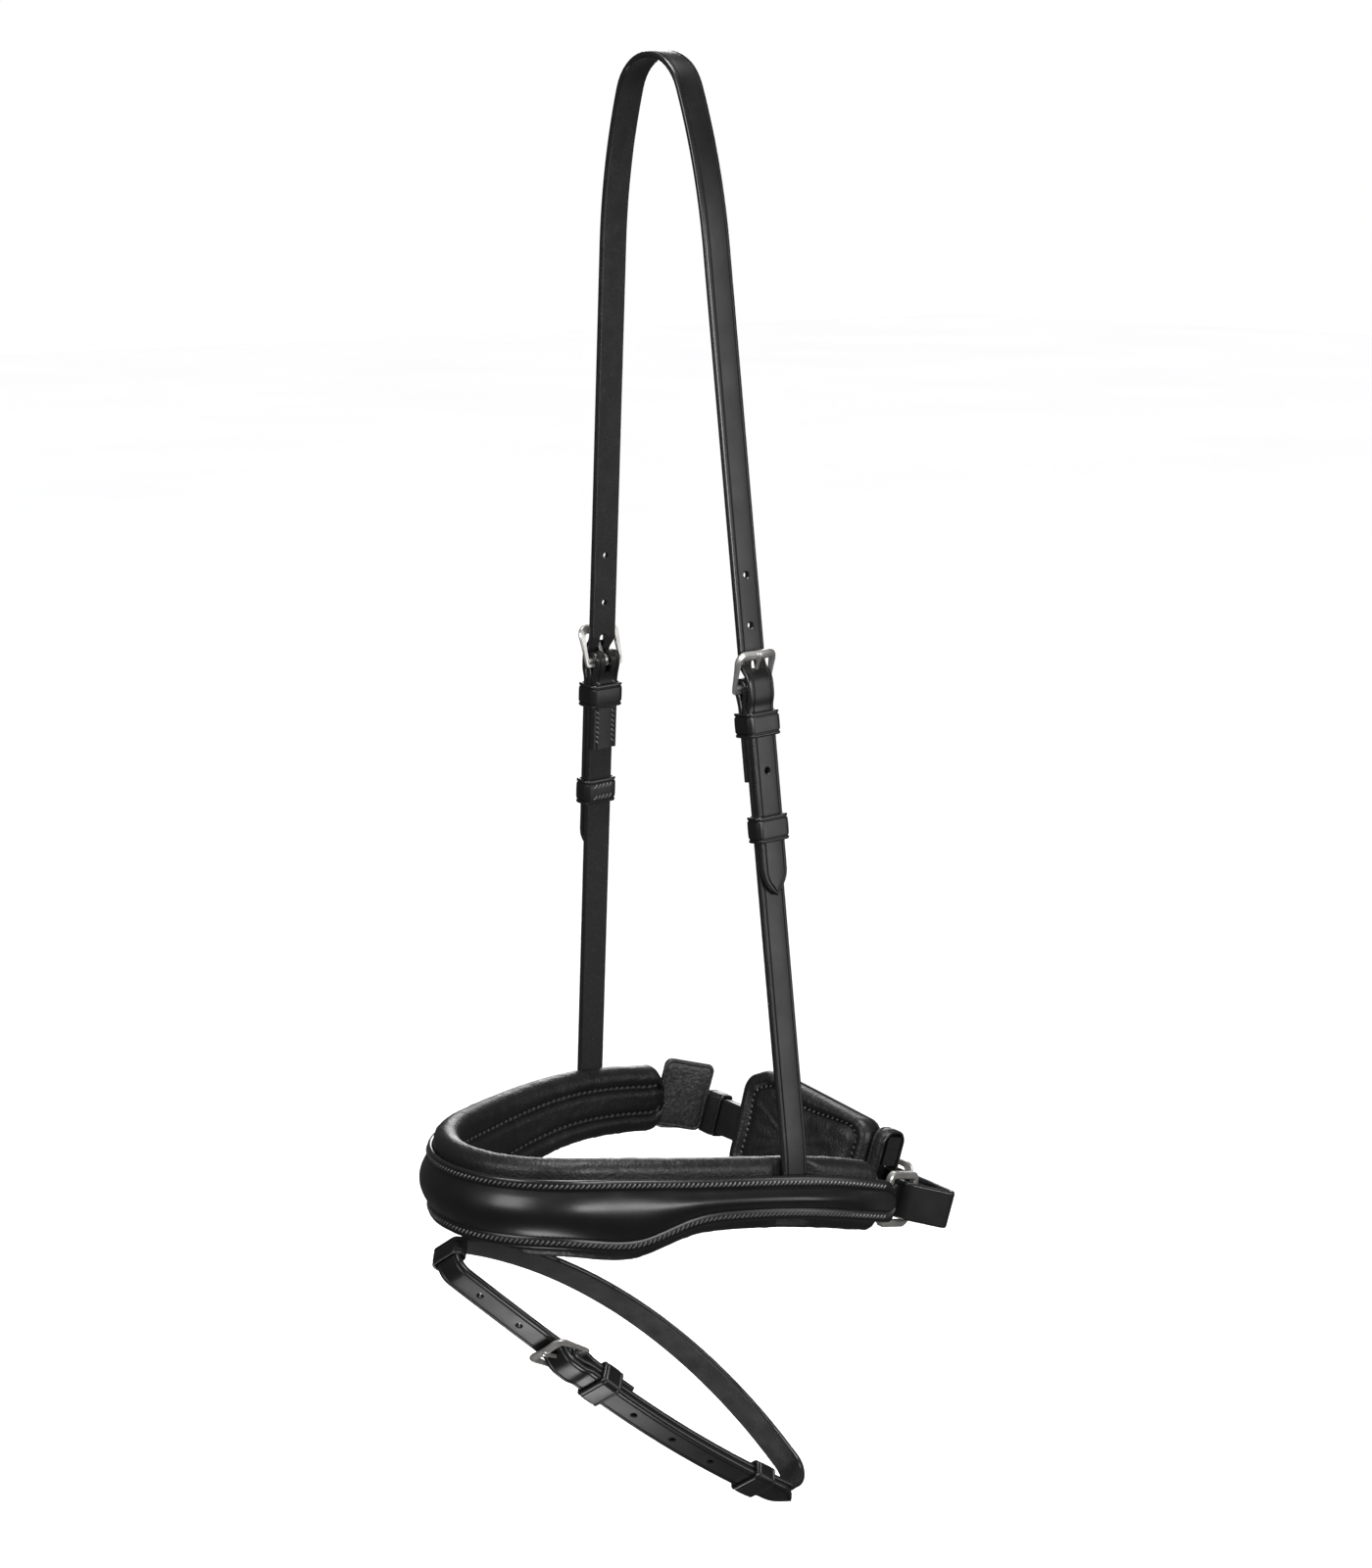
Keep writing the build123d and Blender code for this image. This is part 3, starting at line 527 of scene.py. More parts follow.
def skin(rows, columns, closed_rows=False):
    """Surface through closed rows of points; columns gives the look of each strip round the row."""
    count = len(rows[0])
    points = [p for row in rows for p in row]
    faces, marks = [], []
    pairs = len(rows) if closed_rows else len(rows) - 1
    for r in range(pairs):
        here = r * count
        there = ((r + 1) % len(rows)) * count
        for c in range(count):
            after = (c + 1) % count
            faces.append((here + c, here + after, there + after, there + c))
            marks.append(columns[c])
    if not closed_rows:
        last = (len(rows) - 1) * count
        faces.append(tuple(range(count)))
        faces.append(tuple(last + c for c in range(count)))
        marks += [RIM, RIM]
    return points, faces, marks


def strap_section(half, low, high, crease):
    """Half section of a strap, from the middle of its face round the edge: (inset, level, look)."""
    round_by = min(EDGE_ROUND, 0.46 * (high - low))
    section = [
        (half, high + CROWN_OF_FACE, FACE),
        (crease + 0.45 * (half - crease), high + 0.8 * CROWN_OF_FACE, FACE),
        (crease + 0.55, high, FACE),
        (crease + 0.12, high - CREASE_DEPTH, FACE),
        (crease - 0.12, high - CREASE_DEPTH, FACE),
        (crease - 0.5, high - 0.02, FACE),
    ]
    for angle in (90, 60, 30, 0):
        a = math.radians(angle)
        section.append((round_by * (1 - math.cos(a)), high - round_by * (1 - math.sin(a)), RIM))
    for angle in (0, 35, 70, 90):
        a = math.radians(angle)
        section.append((round_by * (1 - math.cos(a)), low + round_by * (1 - math.sin(a)), RIM))
    section[-1] = (section[-1][0], section[-1][1], BACK)
    section.append((half, low, BACK))
    return section


def stations(legs, step, bend=9.0):
    """Distances along a route that follow its turns: (leg, distance on the leg, whole distance)."""
    found = []
    total = 0.0
    for leg in legs:
        turn = math.degrees(leg[3] * abs(leg[4]))
        count = max(math.ceil(leg[3] / step), math.ceil(turn / bend), 1)
        for i in range(1 if found else 0, count + 1):
            found.append((leg, leg[3] * i / count, total + leg[3] * i / count))
        total += leg[3]
    return found, total


def with_tip(found, total, at_end):
    """More stations close to a pointed end."""
    legs = [leg for leg, _, _ in found]
    leg = legs[-1] if at_end else legs[0]
    extra = []
    count = 24
    for i in range(1, count):
        reach = TIP_LENGTH * (i / count) ** 2
        s = leg[3] - reach if at_end else reach
        if 0 < s < leg[3]:
            extra.append((leg, s, total - reach if at_end else reach))
    return sorted(found + extra, key=lambda item: item[2])


def strap(legs, low, high, width, tips=(False, False), closed=False, crease=CREASE_IN, step=2.6):
    """Creased strap with rounded, painted edges between two offsets of a route."""
    found, total = stations(legs, step)
    if tips[0]:
        found = with_tip(found, total, False)
    if tips[1]:
        found = with_tip(found, total, True)
    if closed:
        found = found[:-1]
    rows = []
    looks = []
    for leg, s, whole in found:
        half = width / 2
        for tip, reach in ((tips[0], whole), (tips[1], total - whole)):
            if tip and reach < TIP_LENGTH:
                half *= max(1 - (1 - reach / TIP_LENGTH) ** TIP_POWER, 0.02)
        section = strap_section(half, low, high, crease)
        right = []
        left = []
        for inset, level, look in section:
            z = max(half - inset, 0.0)
            x, y = leg_point(leg, s, level)
            right.append((x, y, z))
            left.append((x, y, -z))
        rows.append(right + left[-2:0:-1])
        looks = [look for _, _, look in section]
        looks = looks[:-1] + looks[-2::-1]
    return skin(rows, looks, closed_rows=closed)


def ring_legs(low, high, width, gap, corner):
    """Closed route round the inside of a keeper, in (width, thickness) coordinates."""
    tall = high - low + 2 * gap - 2 * corner
    wide = width + 2 * gap - 2 * corner
    moves = []
    for side in (wide, tall, wide, tall):
        moves += [("line", side / 2), ("line", side / 2), ("arc", corner, -90)]
    return route((-wide / 2, high + gap), 0, moves)


KEEPER_TURN = Matrix(((0, 0, -1, 0), (0, 1, 0, 0), (1, 0, 0, 0), (0, 0, 0, 1)))


def keeper(matrix, length, low, high, width, wall=KEEPER_WALL, corner=1.0, crease=1.5, gap=KEEPER_GAP):
    """Creased leather loop round the layers between two heights, in a fitting's axes."""
    legs = ring_legs(low, high, width, gap, corner)
    return moved(strap(legs, 0.0, wall, length, closed=True, crease=crease), matrix @ KEEPER_TURN)


# ---- Punched holes ----
def circle(count):
    """Cosine and sine of evenly spaced angles."""
    angles = [2 * math.pi * k / count for k in range(count)]
    return [(math.cos(a), math.sin(a)) for a in angles]


def hole_cutter(matrix, low, high, length=0.0):
    """Round or oval cutter with flared ends that bevel the rims."""
    bore = USED_HOLE_RADIUS if length else HOLE_RADIUS
    stretch = max(length / 2 - bore, 0.0)
    levels = [(low - 0.7, bore + 0.85), (low + 0.2, bore), (high - 0.3, bore), (high + 0.7, bore + 1.0)]
    sides = circle(28)
    rows = [[(radius * c + math.copysign(stretch, c), y, radius * s) for c, s in sides]
            for y, radius in levels]
    return moved(skin(rows, [RIM] * len(sides)), matrix)


def slot_cutter(matrix):
    """Slot in a folded strap that lets the tongue through."""
    x, y, z = (side / 2 for side in TONGUE_SLOT)
    rows = [[(i, -y, -z), (i, y, -z), (i, y, z), (i, -y, z)] for i in (-x, x)]
    return moved(skin(rows, [RIM] * 4), matrix)


def punch(made, cutters):
    """Cut the holes and keep the result as the piece's own mesh."""
    tool = mesh_object("cutters", joined(cutters), STRAP_LOOK)
    cut = made.modifiers.new("cut", "BOOLEAN")
    cut.operation = "DIFFERENCE"
    cut.solver = "EXACT"
    cut.object = tool
    bpy.context.view_layer.update()
    result = bpy.data.meshes.new_from_object(made.evaluated_get(bpy.context.evaluated_depsgraph_get()))
    made.modifiers.remove(cut)
    made.data = result
    bpy.data.objects.remove(tool)
    result.shade_smooth()
    result.set_sharp_from_angle(angle=math.radians(SHARP_ANGLE))
    smooth = made.modifiers.new("face_weighted", "WEIGHTED_NORMAL")
    smooth.keep_sharp = True


# ---- Stitching ----
def stitch(place, along, out):
    """One slanted stitch that dives into the leather at both ends."""
    across = out.cross(along)
    slant = math.radians(STITCH_SLANT)
    run = along * math.cos(slant) + across * math.sin(slant)
    side = out.cross(run)
    rows = []
    for i in range(5):
        x = (i / 4 - 0.5) * STITCH_LENGTH
        arch = 1 - (2 * x / STITCH_LENGTH) ** 2
        middle = place + run * x + out * (STITCH_RADIUS * (1.2 * arch - 0.55))
        radius = STITCH_RADIUS * (0.72 + 0.28 * arch)
        rows.append([middle + side * radius * c + out * radius * s for c, s in circle(6)])
    return skin(rows, [FACE] * 6)


def stitch_line(line, pitch):
    """Stitches along points given as (place, outward normal)."""
    shapes = []
    left_over = pitch / 2
    for (a, out), (b, _) in zip(line[:-1], line[1:]):
        run = b - a
        length = run.length
        if length < 1e-6:
            continue
        along = run / length
        upright = (out - along * out.dot(along)).normalized()
        while left_over < length:
            shapes.append(stitch(a + along * left_over, along, upright))
            left_over += pitch
        left_over -= length
    return joined(shapes)


def strap_line(matrix, legs, level, z, start, stop):
    """Points and normals of a line along a strap's face, z from its middle."""
    line = []
    steps = max(int((stop - start) / 2.0), 1)
    for i in range(steps + 1):
        s = start + (stop - start) * i / steps
        (x, y), heading = place_along(legs, s)
        a = math.radians(heading)
        out = Vector((-math.sin(a), math.cos(a), 0))
        place = Vector((x, y, z)) + out * level
        line.append((matrix @ place, (matrix.to_3x3() @ out).normalized()))
    return line


# ---- Buckles ----
def buckle(strap_width):
    """Bridle buckle: broad arched front bar with a bevelled ridge, tapering arms, round pivot bar."""
    half = strap_width / 2 + 1.2 + 1.15
    corner = 3.0
    arm = ("line", BUCKLE_FRONT - corner)
    turn = ("arc", corner, 90)
    back_turn = ("arc", 0.6, 90)
    legs = route((0, half), 180, [
        arm, turn, ("line", 2 * (half - corner)), turn, arm,
        ("line", 1.4), back_turn, ("line", 2 * (half - 0.6)), back_turn, ("line", 1.4)])
    found, _ = stations(legs, 1.6, 15.0)
    ridge = [(-0.5, -0.2), (-0.36, -0.5), (0.36, -0.5), (0.5, -0.2), (0.5, 0.1), (0.16, 0.5), (-0.16, 0.5),
             (-0.5, 0.1)]
    rows = []
    for leg, s, _ in found[:-1]:
        x, z = leg_point(leg, s)
        bulk = clamp(-x / BUCKLE_FRONT) ** 2
        wide = 1.9 + 1.9 * bulk
        thick = 1.8 + 0.5 * bulk
        arch = 0.9 * bulk * math.cos(math.pi * z / (2 * half + 2))
        if x > 0.2:
            wide, thick = 1.6, 1.6
        rows.append([(*leg_point(leg, s, u * wide), arch + v * thick) for u, v in ridge])
    rows = [[(x, y, z) for x, z, y in row] for row in rows]
    plate = skin(rows, [FACE] * len(ridge), closed_rows=True)
    bar = rod([(0, 0, -half), (0, 0, half)], BAR_RADIUS, 16)
    return joined([moved(plate, turn_about("Z", -FRAME_TILT)), bar])


def rod(ends, radius, sides):
    """Round bar between two points, with eased ends."""
    a, b = (Vector(p) for p in ends)
    axis = (b - a).normalized()
    side = axis.orthogonal().normalized()
    other = axis.cross(side)
    ease = axis * radius * 0.3
    rows = []
    for place, r in ((a, radius * 0.7), (a + ease, radius), (b - ease, radius), (b, radius * 0.7)):
        rows.append([place + side * r * c + other * r * s for c, s in circle(sides)])
    return skin(rows, [FACE] * sides)


def tongue():
    """Buckle tongue: an eye on the bar, a flat tapering stem and a bevelled diamond tip."""
    section = [(1.28, -0.9), (1.28, 0.9), (2.2, 0.9), (2.45, 0.6), (2.45, -0.6), (2.2, -0.9)]
    eye = skin([[(r * c, r * s, z) for r, z in section] for c, s in circle(20)], [FACE] * 6, closed_rows=True)
    places = [(1.6, 0.85, 0.8), (4, 0.8, 0.75), (8, 0.8, 0.7), (11.0, 0.9, 0.72), (12.4, 1.25, 0.9),
              (13.6, 1.3, 0.95), (14.8, 0.95, 0.7), (15.3, 0.4, 0.35)]
    rows = []
    for x, wide, tall in places:
        rows.append([(-x, tall, -0.35 * wide), (-x, tall, 0.35 * wide), (-x, 0.25 * tall, wide),
                     (-x, -0.5 * tall, wide), (-x, -tall, 0.5 * wide), (-x, -tall, -0.5 * wide),
                     (-x, -0.5 * tall, -wide), (-x, 0.25 * tall, -wide)])
    stem = moved(skin(rows, [FACE] * 8), turn_about("Z", -TONGUE_TILT))
    return joined([eye, stem])


def add_buckle(prefix, place, width, frame_body):
    """Frame and tongue of a buckle; the tongue has a body of its own."""
    parts = [("_buckle", buckle(width), frame_body, "_buckle_frame"),
             ("_tongue", tongue(), prefix + "_tongue", "_buckle_tongue")]
    for name, shape, body, node in parts:
        piece(prefix + name + "_steel", moved(shape, place), [STEEL], body, "buckle_steel", prefix + node,
              angle=28)


# ---- Headpiece ----
arch_end, cheek_heading = end_of(route((0, 0), 0, CROWN_ARCH))
straight = (BAR_DROP + arch_end[1]) / math.sin(math.radians(-cheek_heading))
cheek_bar = (arch_end[0] + straight * math.cos(math.radians(cheek_heading)), -BAR_DROP)


def cheek_spot(s=0.0):
    """Fitting on the near cheek strap at a distance below the buckle's bar."""
    along = math.radians(cheek_heading)
    return spot((cheek_bar[0] + s * math.cos(along), cheek_bar[1] + s * math.sin(along)), cheek_heading)


def add_crown_strap():
    """Headpiece strap with its two billets and their holes."""
    half = CROWN_ARCH + [("line", straight - RISE_START)] + billet_moves(STRAP_THICK)
    near = route((0, 0), 0, half + [("line", BILLET_LENGTH - SETTLE)])
    far = turned_back([(-x, y, math.pi - heading, length, -bend) for x, y, heading, length, bend in near])
    shape = strap(far + near, *SINGLE_LAYER, STRAP_WIDTH, tips=(True, True))
    made = leather("headpiece", moved(shape, CROWN), "headstall", "crown_strap")
    cutters = []
    for side in SIDES.values():
        for place in (-HOLE_ABOVE - HOLE_PITCH, -HOLE_ABOVE):
            cutters.append(hole_cutter(side @ cheek_spot(place), *SINGLE_LAYER))
        cutters.append(hole_cutter(side @ cheek_spot(-HOLE_IN_USE), *USED_HOLE_LEVELS, USED_HOLE_LENGTH))
        for place in (HOLE_PITCH - HOLE_IN_USE, 2 * HOLE_PITCH - HOLE_IN_USE):
            cutters.append(hole_cutter(side @ cheek_spot(place), STACK, OUTSIDE))
    punch(made, cutters)


def add_cheek(side):
    """Cheek strap of one side with its buckle, stitching and both keepers."""
    matrix = SIDES[side]
    after = [("line", CHEEK_DROP - SETTLE), ("arc", CHEEK_EASE, -(90 + cheek_heading)),
             ("line", CHEEK_END[side])]
    legs = set_at(chape([("line", CHEEK_TAIL - SETTLE)], after), cheek_bar, cheek_heading)
    shape = strap(legs, 0.0, STRAP_THICK, STRAP_WIDTH)
    cheek = side + "_cheek"
    made = leather(cheek, moved(shape, matrix), "headstall", cheek + "_strap")
    punch(made, [slot_cutter(matrix @ cheek_spot())])
    rows = [strap_line(matrix, legs, STRAP_THICK, z, 2.0, CHEEK_TAIL - 9.0) for z in (-4.0, 4.0)]
    thread(cheek, rows, "headstall")
    add_buckle(cheek, matrix @ cheek_spot(), STRAP_WIDTH, "headstall")
    add_keepers(cheek, matrix @ cheek_spot(CHEEK_FIXED_KEEPER), matrix @ cheek_spot(CHEEK_RUNNER), LIFT,
                "headstall")
    rows = [fitting_line(matrix @ cheek_spot(CHEEK_RUNNER), x) for x in (-2.4, 2.4)]
    thread(cheek + "_runner", rows, cheek + "_keeper", pitch=1.9)


def add_keepers(prefix, fixed_place, runner_place, runner_low, body):
    """Fixed keeper behind a buckle and the runner further on, round a thin strap's layers."""
    fixed = keeper(fixed_place, KEEPER_LENGTH, -STRAP_THICK - LIFT, OUTSIDE, STRAP_WIDTH)
    leather(prefix + "_fixed_keeper", fixed, body)
    runner = keeper(runner_place, RUNNER_LENGTH, runner_low, OUTSIDE, STRAP_WIDTH)
    leather(prefix + "_runner", runner, prefix + "_keeper")


def fitting_line(matrix, x):
    """Straight line across the back of a runner, x along the strap from its middle."""
    normal = (matrix.to_3x3() @ Vector((0, -1, 0))).normalized()
    return [(matrix @ Vector((x, -KEEPER_WALL - 0.3, z)), normal) for z in (-5.0, -2.5, 0.0, 2.5, 5.0)]


add_crown_strap()
for side in SIDES:
    add_cheek(side)


# ---- Noseband: its upper and lower edges are read from the frame's facing ----
def facing_tree():
    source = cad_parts["noseband_facing"].data
    return BVHTree.FromPolygons([v.co for v in source.vertices], [tuple(p.vertices) for p in source.polygons])


class Noseband:
    """Stations along the noseband's plan with the facing's upper and lower edge at each."""

    END_EASE = 0.3

    def __init__(self):
        plan = turned_back(route((0, NOSE_FRONT), 0, NEAR_SWEEP)) + route((0, NOSE_FRONT), 180, FAR_SWEEP)
        found, self.total = stations(plan, 2.0, 3.0)
        tree = facing_tree()
        self.rows = []
        for leg, s, whole in found:
            inner = clamp(whole, self.END_EASE, self.total - self.END_EASE) - (whole - s)
            x, y = leg_point(leg, inner, 0.5 * FACING_THICK)
            top = tree.ray_cast(Vector((x, y, 0)) * MM, Vector((0, 0, -1)))[0]
            low = tree.ray_cast(Vector((x, y, RAY_START)) * MM, Vector((0, 0, 1)))[0]
            self.rows.append((leg, s, whole, top.z / MM, low.z / MM))

    def where(self, x_sign, y):
        """Distance along the plan where one side passes a row coordinate y."""
        best = min((row for row in self.rows if leg_point(row[0], row[1])[0] * x_sign > 0),
                   key=lambda row: abs(leg_point(row[0], row[1])[1] - y))
        return best[2]


nose = Noseband()
POCKETS = [nose.where(1, POCKET_Y), nose.where(-1, POCKET_Y)]
FRONT = nose.where(1, NOSE_FRONT)


def corner_loss(reach, radius):
    """How much a rounded corner takes off an edge at a distance from the end."""
    return radius - math.sqrt(max(radius ** 2 - (radius - min(reach, radius)) ** 2, 0.0))


def border_width(top, low):
    """Width of the facing's flat stitched border."""
    return min(BORDER, 0.3 * (top - low))


def facing_row(leg, s, whole, top, low):
    """Section of the facing: flat stitched borders and a domed middle that runs out at the ends."""
    end = min(whole, nose.total - whole)
    loss = corner_loss(end, FACING_CORNER)
    top -= loss
    low += loss
    border = border_width(top, low)
    rise = FACING_RISE * smooth((end - DOME_START) / DOME_RUN)
    face = FACING_THICK
    half = [(0.05, top - 0.9), (0.5, top - 0.15), (1.3, top), (2.05, top - 0.25), (face, top - 0.8),
            (face, top - 0.45 * border), (face, top - border + 0.9), (face - 0.3, top - border + 0.45),
            (face + 0.02, top - border)]
    inner_top = top - border
    width = top - low - 2 * border
    dome = []
    for i in range(1, 16):
        x = i / 16
        dome.append((face + rise * math.sin(math.pi * x) ** 0.85, inner_top - width * x))
    mirrored = [(t, top + low - z) for t, z in reversed(half)]
    return [(*leg_point(leg, s, t), z) for t, z in half + dome + mirrored]


def add_facing():
    """Outer leather of the noseband, stitched along both borders."""
    rows = [facing_row(*row) for row in nose.rows]
    count = len(rows[0])
    looks = [RIM] * 4 + [FACE] * (count - 9) + [RIM] * 4 + [BACK]
    piece("noseband_facing_leather", skin(rows, looks), [POLISHED, FLESH, EDGE], "headstall", "strap_leather",
          "noseband_facing", "noseband_raised_core", angle=50)
    upper, lower = [], []
    for leg, s, whole, top, low in nose.rows:
        if min(whole, nose.total - whole) < FACING_CORNER:
            continue
        inset = 0.52 * border_width(top, low)
        upper.append(plan_point(leg, s, FACING_THICK, top - inset, 1))
        lower.append(plan_point(leg, s, FACING_THICK, low + inset, 1))
    thread("noseband_facing", [upper, lower], "headstall")


def plan_point(leg, s, depth, z, outward):
    """Point of a stitch line round the noseband and its level normal."""
    place = Vector((*leg_point(leg, s, depth), z))
    return place, Vector((*leg_point(leg, s, depth + outward), z)) - place


def lining_edges(whole, top, low):
    """Upper and lower edge of the lining, which leaves room for the flash loop under the nose."""
    room = smooth(1 - (abs(whole - FRONT) - FLASH_ROOM) / 12)
    return top + ROLL_ABOVE, low - ROLL_BELOW * (1 - room) + 2.0 * room


def lining_row(leg, s, whole, top, low):
    """Section of the padded lining: a roll above, a flat middle and a roll below, quilted inside."""
    end = min(whole - LINING_SHORT, nose.total + LINING_PAST - whole)
    high, deep = lining_edges(whole, top, low)
    radius = (LINING_THICK - 0.3) / 2
    ease = math.sqrt(max(1 - (1 - clamp(end / 7)) ** 2, 0.02))
    middle_z = (high + deep) / 2
    length = high - deep
    row = []
    for i in range(13):
        a = math.pi * i / 12
        row.append((radius * math.cos(a), high - radius + radius * math.sin(a)))
    for i in range(1, 28):
        z = high - radius - (length - 2 * radius) * i / 28
        dip = sum(2.6 * math.exp(-((z - (high - seam * length)) / 1.7) ** 2) for seam in LINING_SEAMS)
        row.append((-radius + dip, z))
    for i in range(13):
        a = math.pi + math.pi * i / 12
        row.append((radius * math.cos(a), deep + radius + radius * math.sin(a)))
    for i in range(1, 6):
        row.append((radius, deep + radius + (length - 2 * radius) * i / 6))
    pressed = max(smooth(1 - (abs(whole - place) - POCKET_HALF) / 5) for place in POCKETS)
    gap = 0.12
    limit = -gap - (POCKET_DEPTH - gap) * pressed
    points = []
    for t, z in row:
        rumple = Vector((whole * 0.30, z * 0.16, t * 0.25))
        swell = 0.42 * noise.noise(rumple) + 0.22 * noise.noise(rumple * 3.1)
        t = -gap - radius + (t + math.copysign(swell, t) * abs(t) / radius) * (0.6 + 0.4 * ease)
        z = middle_z + (z - middle_z) * ease + swell * 0.5
        points.append((*leg_point(leg, s, min(t, limit)), z))
    return points


def add_lining():
    """Padded lining, run on a little past the far end under the flap."""
    inside = [row for row in nose.rows if LINING_SHORT + 0.4 < row[2] < nose.total - 4.0]
    leg, s, whole, top, low = inside[-1]
    spare = nose.total + LINING_PAST - 0.3 - whole
    inside += [(leg, s + spare * i / 5, whole + spare * i / 5, top, low) for i in range(1, 6)]
    rows = [lining_row(*row) for row in inside]
    made = soft("noseband_lining", skin(rows, [FACE] * len(rows[0])), PADDED_LOOK, "headstall",
                "noseband_lining", "noseband_foam", angle=70)
    lines = []
    for seam in LINING_SEAMS:
        line = []
        for leg, s, whole, top, low in inside[2:-2]:
            high, deep = lining_edges(whole, top, low)
            line.append(plan_point(leg, s, 2.75 - LINING_THICK, high - seam * (high - deep), -1))
        lines.append(line)
    thread("noseband_lining", lines, "headstall", "soft_leather", 3.2)


add_facing()
add_lining()


# ---- Rings and their chapes ----
def ring_shape():
    """Rectangular ring of flat-faced wire with eased edges, its front bar on the local Z axis."""
    half = CRANK_WIDTH / 2 + 1.0 + RING_WIRE / 2
    turn = ("arc", RING_CORNER, -90)
    sides = [("line", RING_REACH - 2 * RING_CORNER), turn, ("line", 2 * (half - RING_CORNER)), turn]
    legs = route((RING_CORNER, half), 0, 2 * sides)
    found, _ = stations(legs, 2.0, 12.0)
    side = RING_WIRE / 2
    eased = side - 0.55
    section = [(side, eased), (eased, side), (-eased, side), (-side, eased), (-side, -eased), (-eased, -side),
               (eased, -side), (side, -eased)]
    rows = []
    for leg, s, _ in found[:-1]:
        row = []
        for out, up in section:
            q, z = leg_point(leg, s, out)
            row.append((up, q, z))
        rows.append(row)
    return skin(rows, [FACE] * len(section), closed_rows=True)


def ring_chape_legs(side):
    """Tail, fold round the ring's front bar and outer layer."""
    drop = RING_FOLD - 0.1
    tail, outer = (s_bend(RING_SETTLE, rise) + [("line", 9.0)] for rise in (drop, -drop))
    return set_at(folded(RING_FOLD, tail, outer), RING_FRONT[side], RING_HEAD[side])


for side in SIDES:
    ring = moved(ring_shape(), CRANK @ Matrix.Translation((*RING_FRONT[side], 0)))
    piece(side + "_ring_steel", ring, [STEEL], side + "_link", "buckle_steel", side + "_ring", angle=25)
    shape = strap(ring_chape_legs(side), 0.0, RING_CHAPE_THICK, RING_CHAPE_WIDTH, step=1.5)
    leather(side + "_ring_chape", moved(shape, CRANK), "headstall")


# ---- Crank strap ----
def crank_legs():
    """Tail, fold on the far ring, run behind the pad, slack loop through the near ring, billet."""
    far_p = RING_FRONT["far"][0]
    far_q = RING_FRONT["far"][1] + RING_REACH
    tail = s_bend(RING_SETTLE, CRANK_LEVEL - 0.1 - (far_q - RING_FOLD)) + [("line", 1.5)]
    run = s_bend(SETTLE, CRANK_LEVEL - far_q - RING_FOLD) + [("line", CRANK_DIP - far_p - SETTLE)]
    under = folded(RING_FOLD, tail, run + CRANK_LOOP, (far_p, far_q))
    (x, y), _ = end_of(under)
    level = CRANK_BAR_LEVEL + CRANK_THICK
    crest = FOLD_RADIUS + CHAPE_THICK + LAYER_GAP
    settled = CHAPE_THICK + LAYER_GAP + LIFT
    laid = CRANK_LAID - CRANK_BAR_LEVEL
    moves = s_bend(CRANK_KINK, y - level)
    moves += [("line", x - CRANK_KINK - CRANK_BAR - RISE_START)] + over_fold(-crest, crest - settled)
    moves += [("line", CRANK_SLOPE[0])] + s_bend(CRANK_SLOPE[1], settled - laid)
    top = route((x, y), 180, moves)
    (x, y), _ = end_of(top)
    return under + top + route((x, y), 180, [("line", x - CRANK_TIP)])


def crank_spot(s=0.0):
    """Fitting on the returning strap: local X runs towards the far side."""
    return CRANK @ spot((CRANK_BAR - s, CRANK_BAR_LEVEL), flip=True)


def add_crank():
    """Crank strap, its buckle with chape, and both keepers."""
    shape = moved(strap(crank_legs(), 0.0, CRANK_THICK, CRANK_WIDTH, tips=(False, True), step=2.0), CRANK)
    made = leather("crank_strap", shape, "headstall", looks=[GRAIN, GRAIN, EDGE])
    chape_top = CRANK_BAR_LEVEL + CHAPE_THICK
    used = (4.6, 12.0)
    over_chape = (chape_top + 0.3, chape_top + LAYER_GAP + CRANK_THICK)
    laid = (CRANK_LAID + 0.7, CRANK_LAID + CRANK_THICK + LIFT)
    cutters = []
    for count, (low, high) in enumerate((used, over_chape, over_chape, laid)):
        place = CRANK @ spot((CRANK_BAR + HOLE_IN_USE - HOLE_PITCH * count, 0))
        cutters.append(hole_cutter(place, low, high, 0.0 if count else USED_HOLE_LENGTH))
    punch(made, cutters)
    shape = strap(chape([("line", CHAPE_TAIL)], [("line", CHAPE_TAIL)]), 0.0, CHAPE_THICK, CRANK_WIDTH)
    made = leather("crank_chape", moved(shape, crank_spot()), "headstall")
    punch(made, [slot_cutter(crank_spot())])
    add_buckle("crank", crank_spot(), CRANK_WIDTH, "headstall")
    low = CRANK_LEVEL - CRANK_BAR_LEVEL
    high = CHAPE_THICK + LAYER_GAP + LIFT + CRANK_THICK
    fixed = keeper(crank_spot(CRANK_FIXED_KEEPER), KEEPER_LENGTH, low, high, CRANK_WIDTH, CRANK_KEEPER_WALL)
    leather("crank_fixed_keeper", fixed, "headstall")
    place = CRANK @ spot((CRANK_RUNNER, 0))
    runner = keeper(place, 9.0, CRANK_LEVEL, CRANK_TOP, CRANK_WIDTH, CRANK_KEEPER_WALL)
    leather("crank_runner", runner, "crank_keeper")


add_crank()


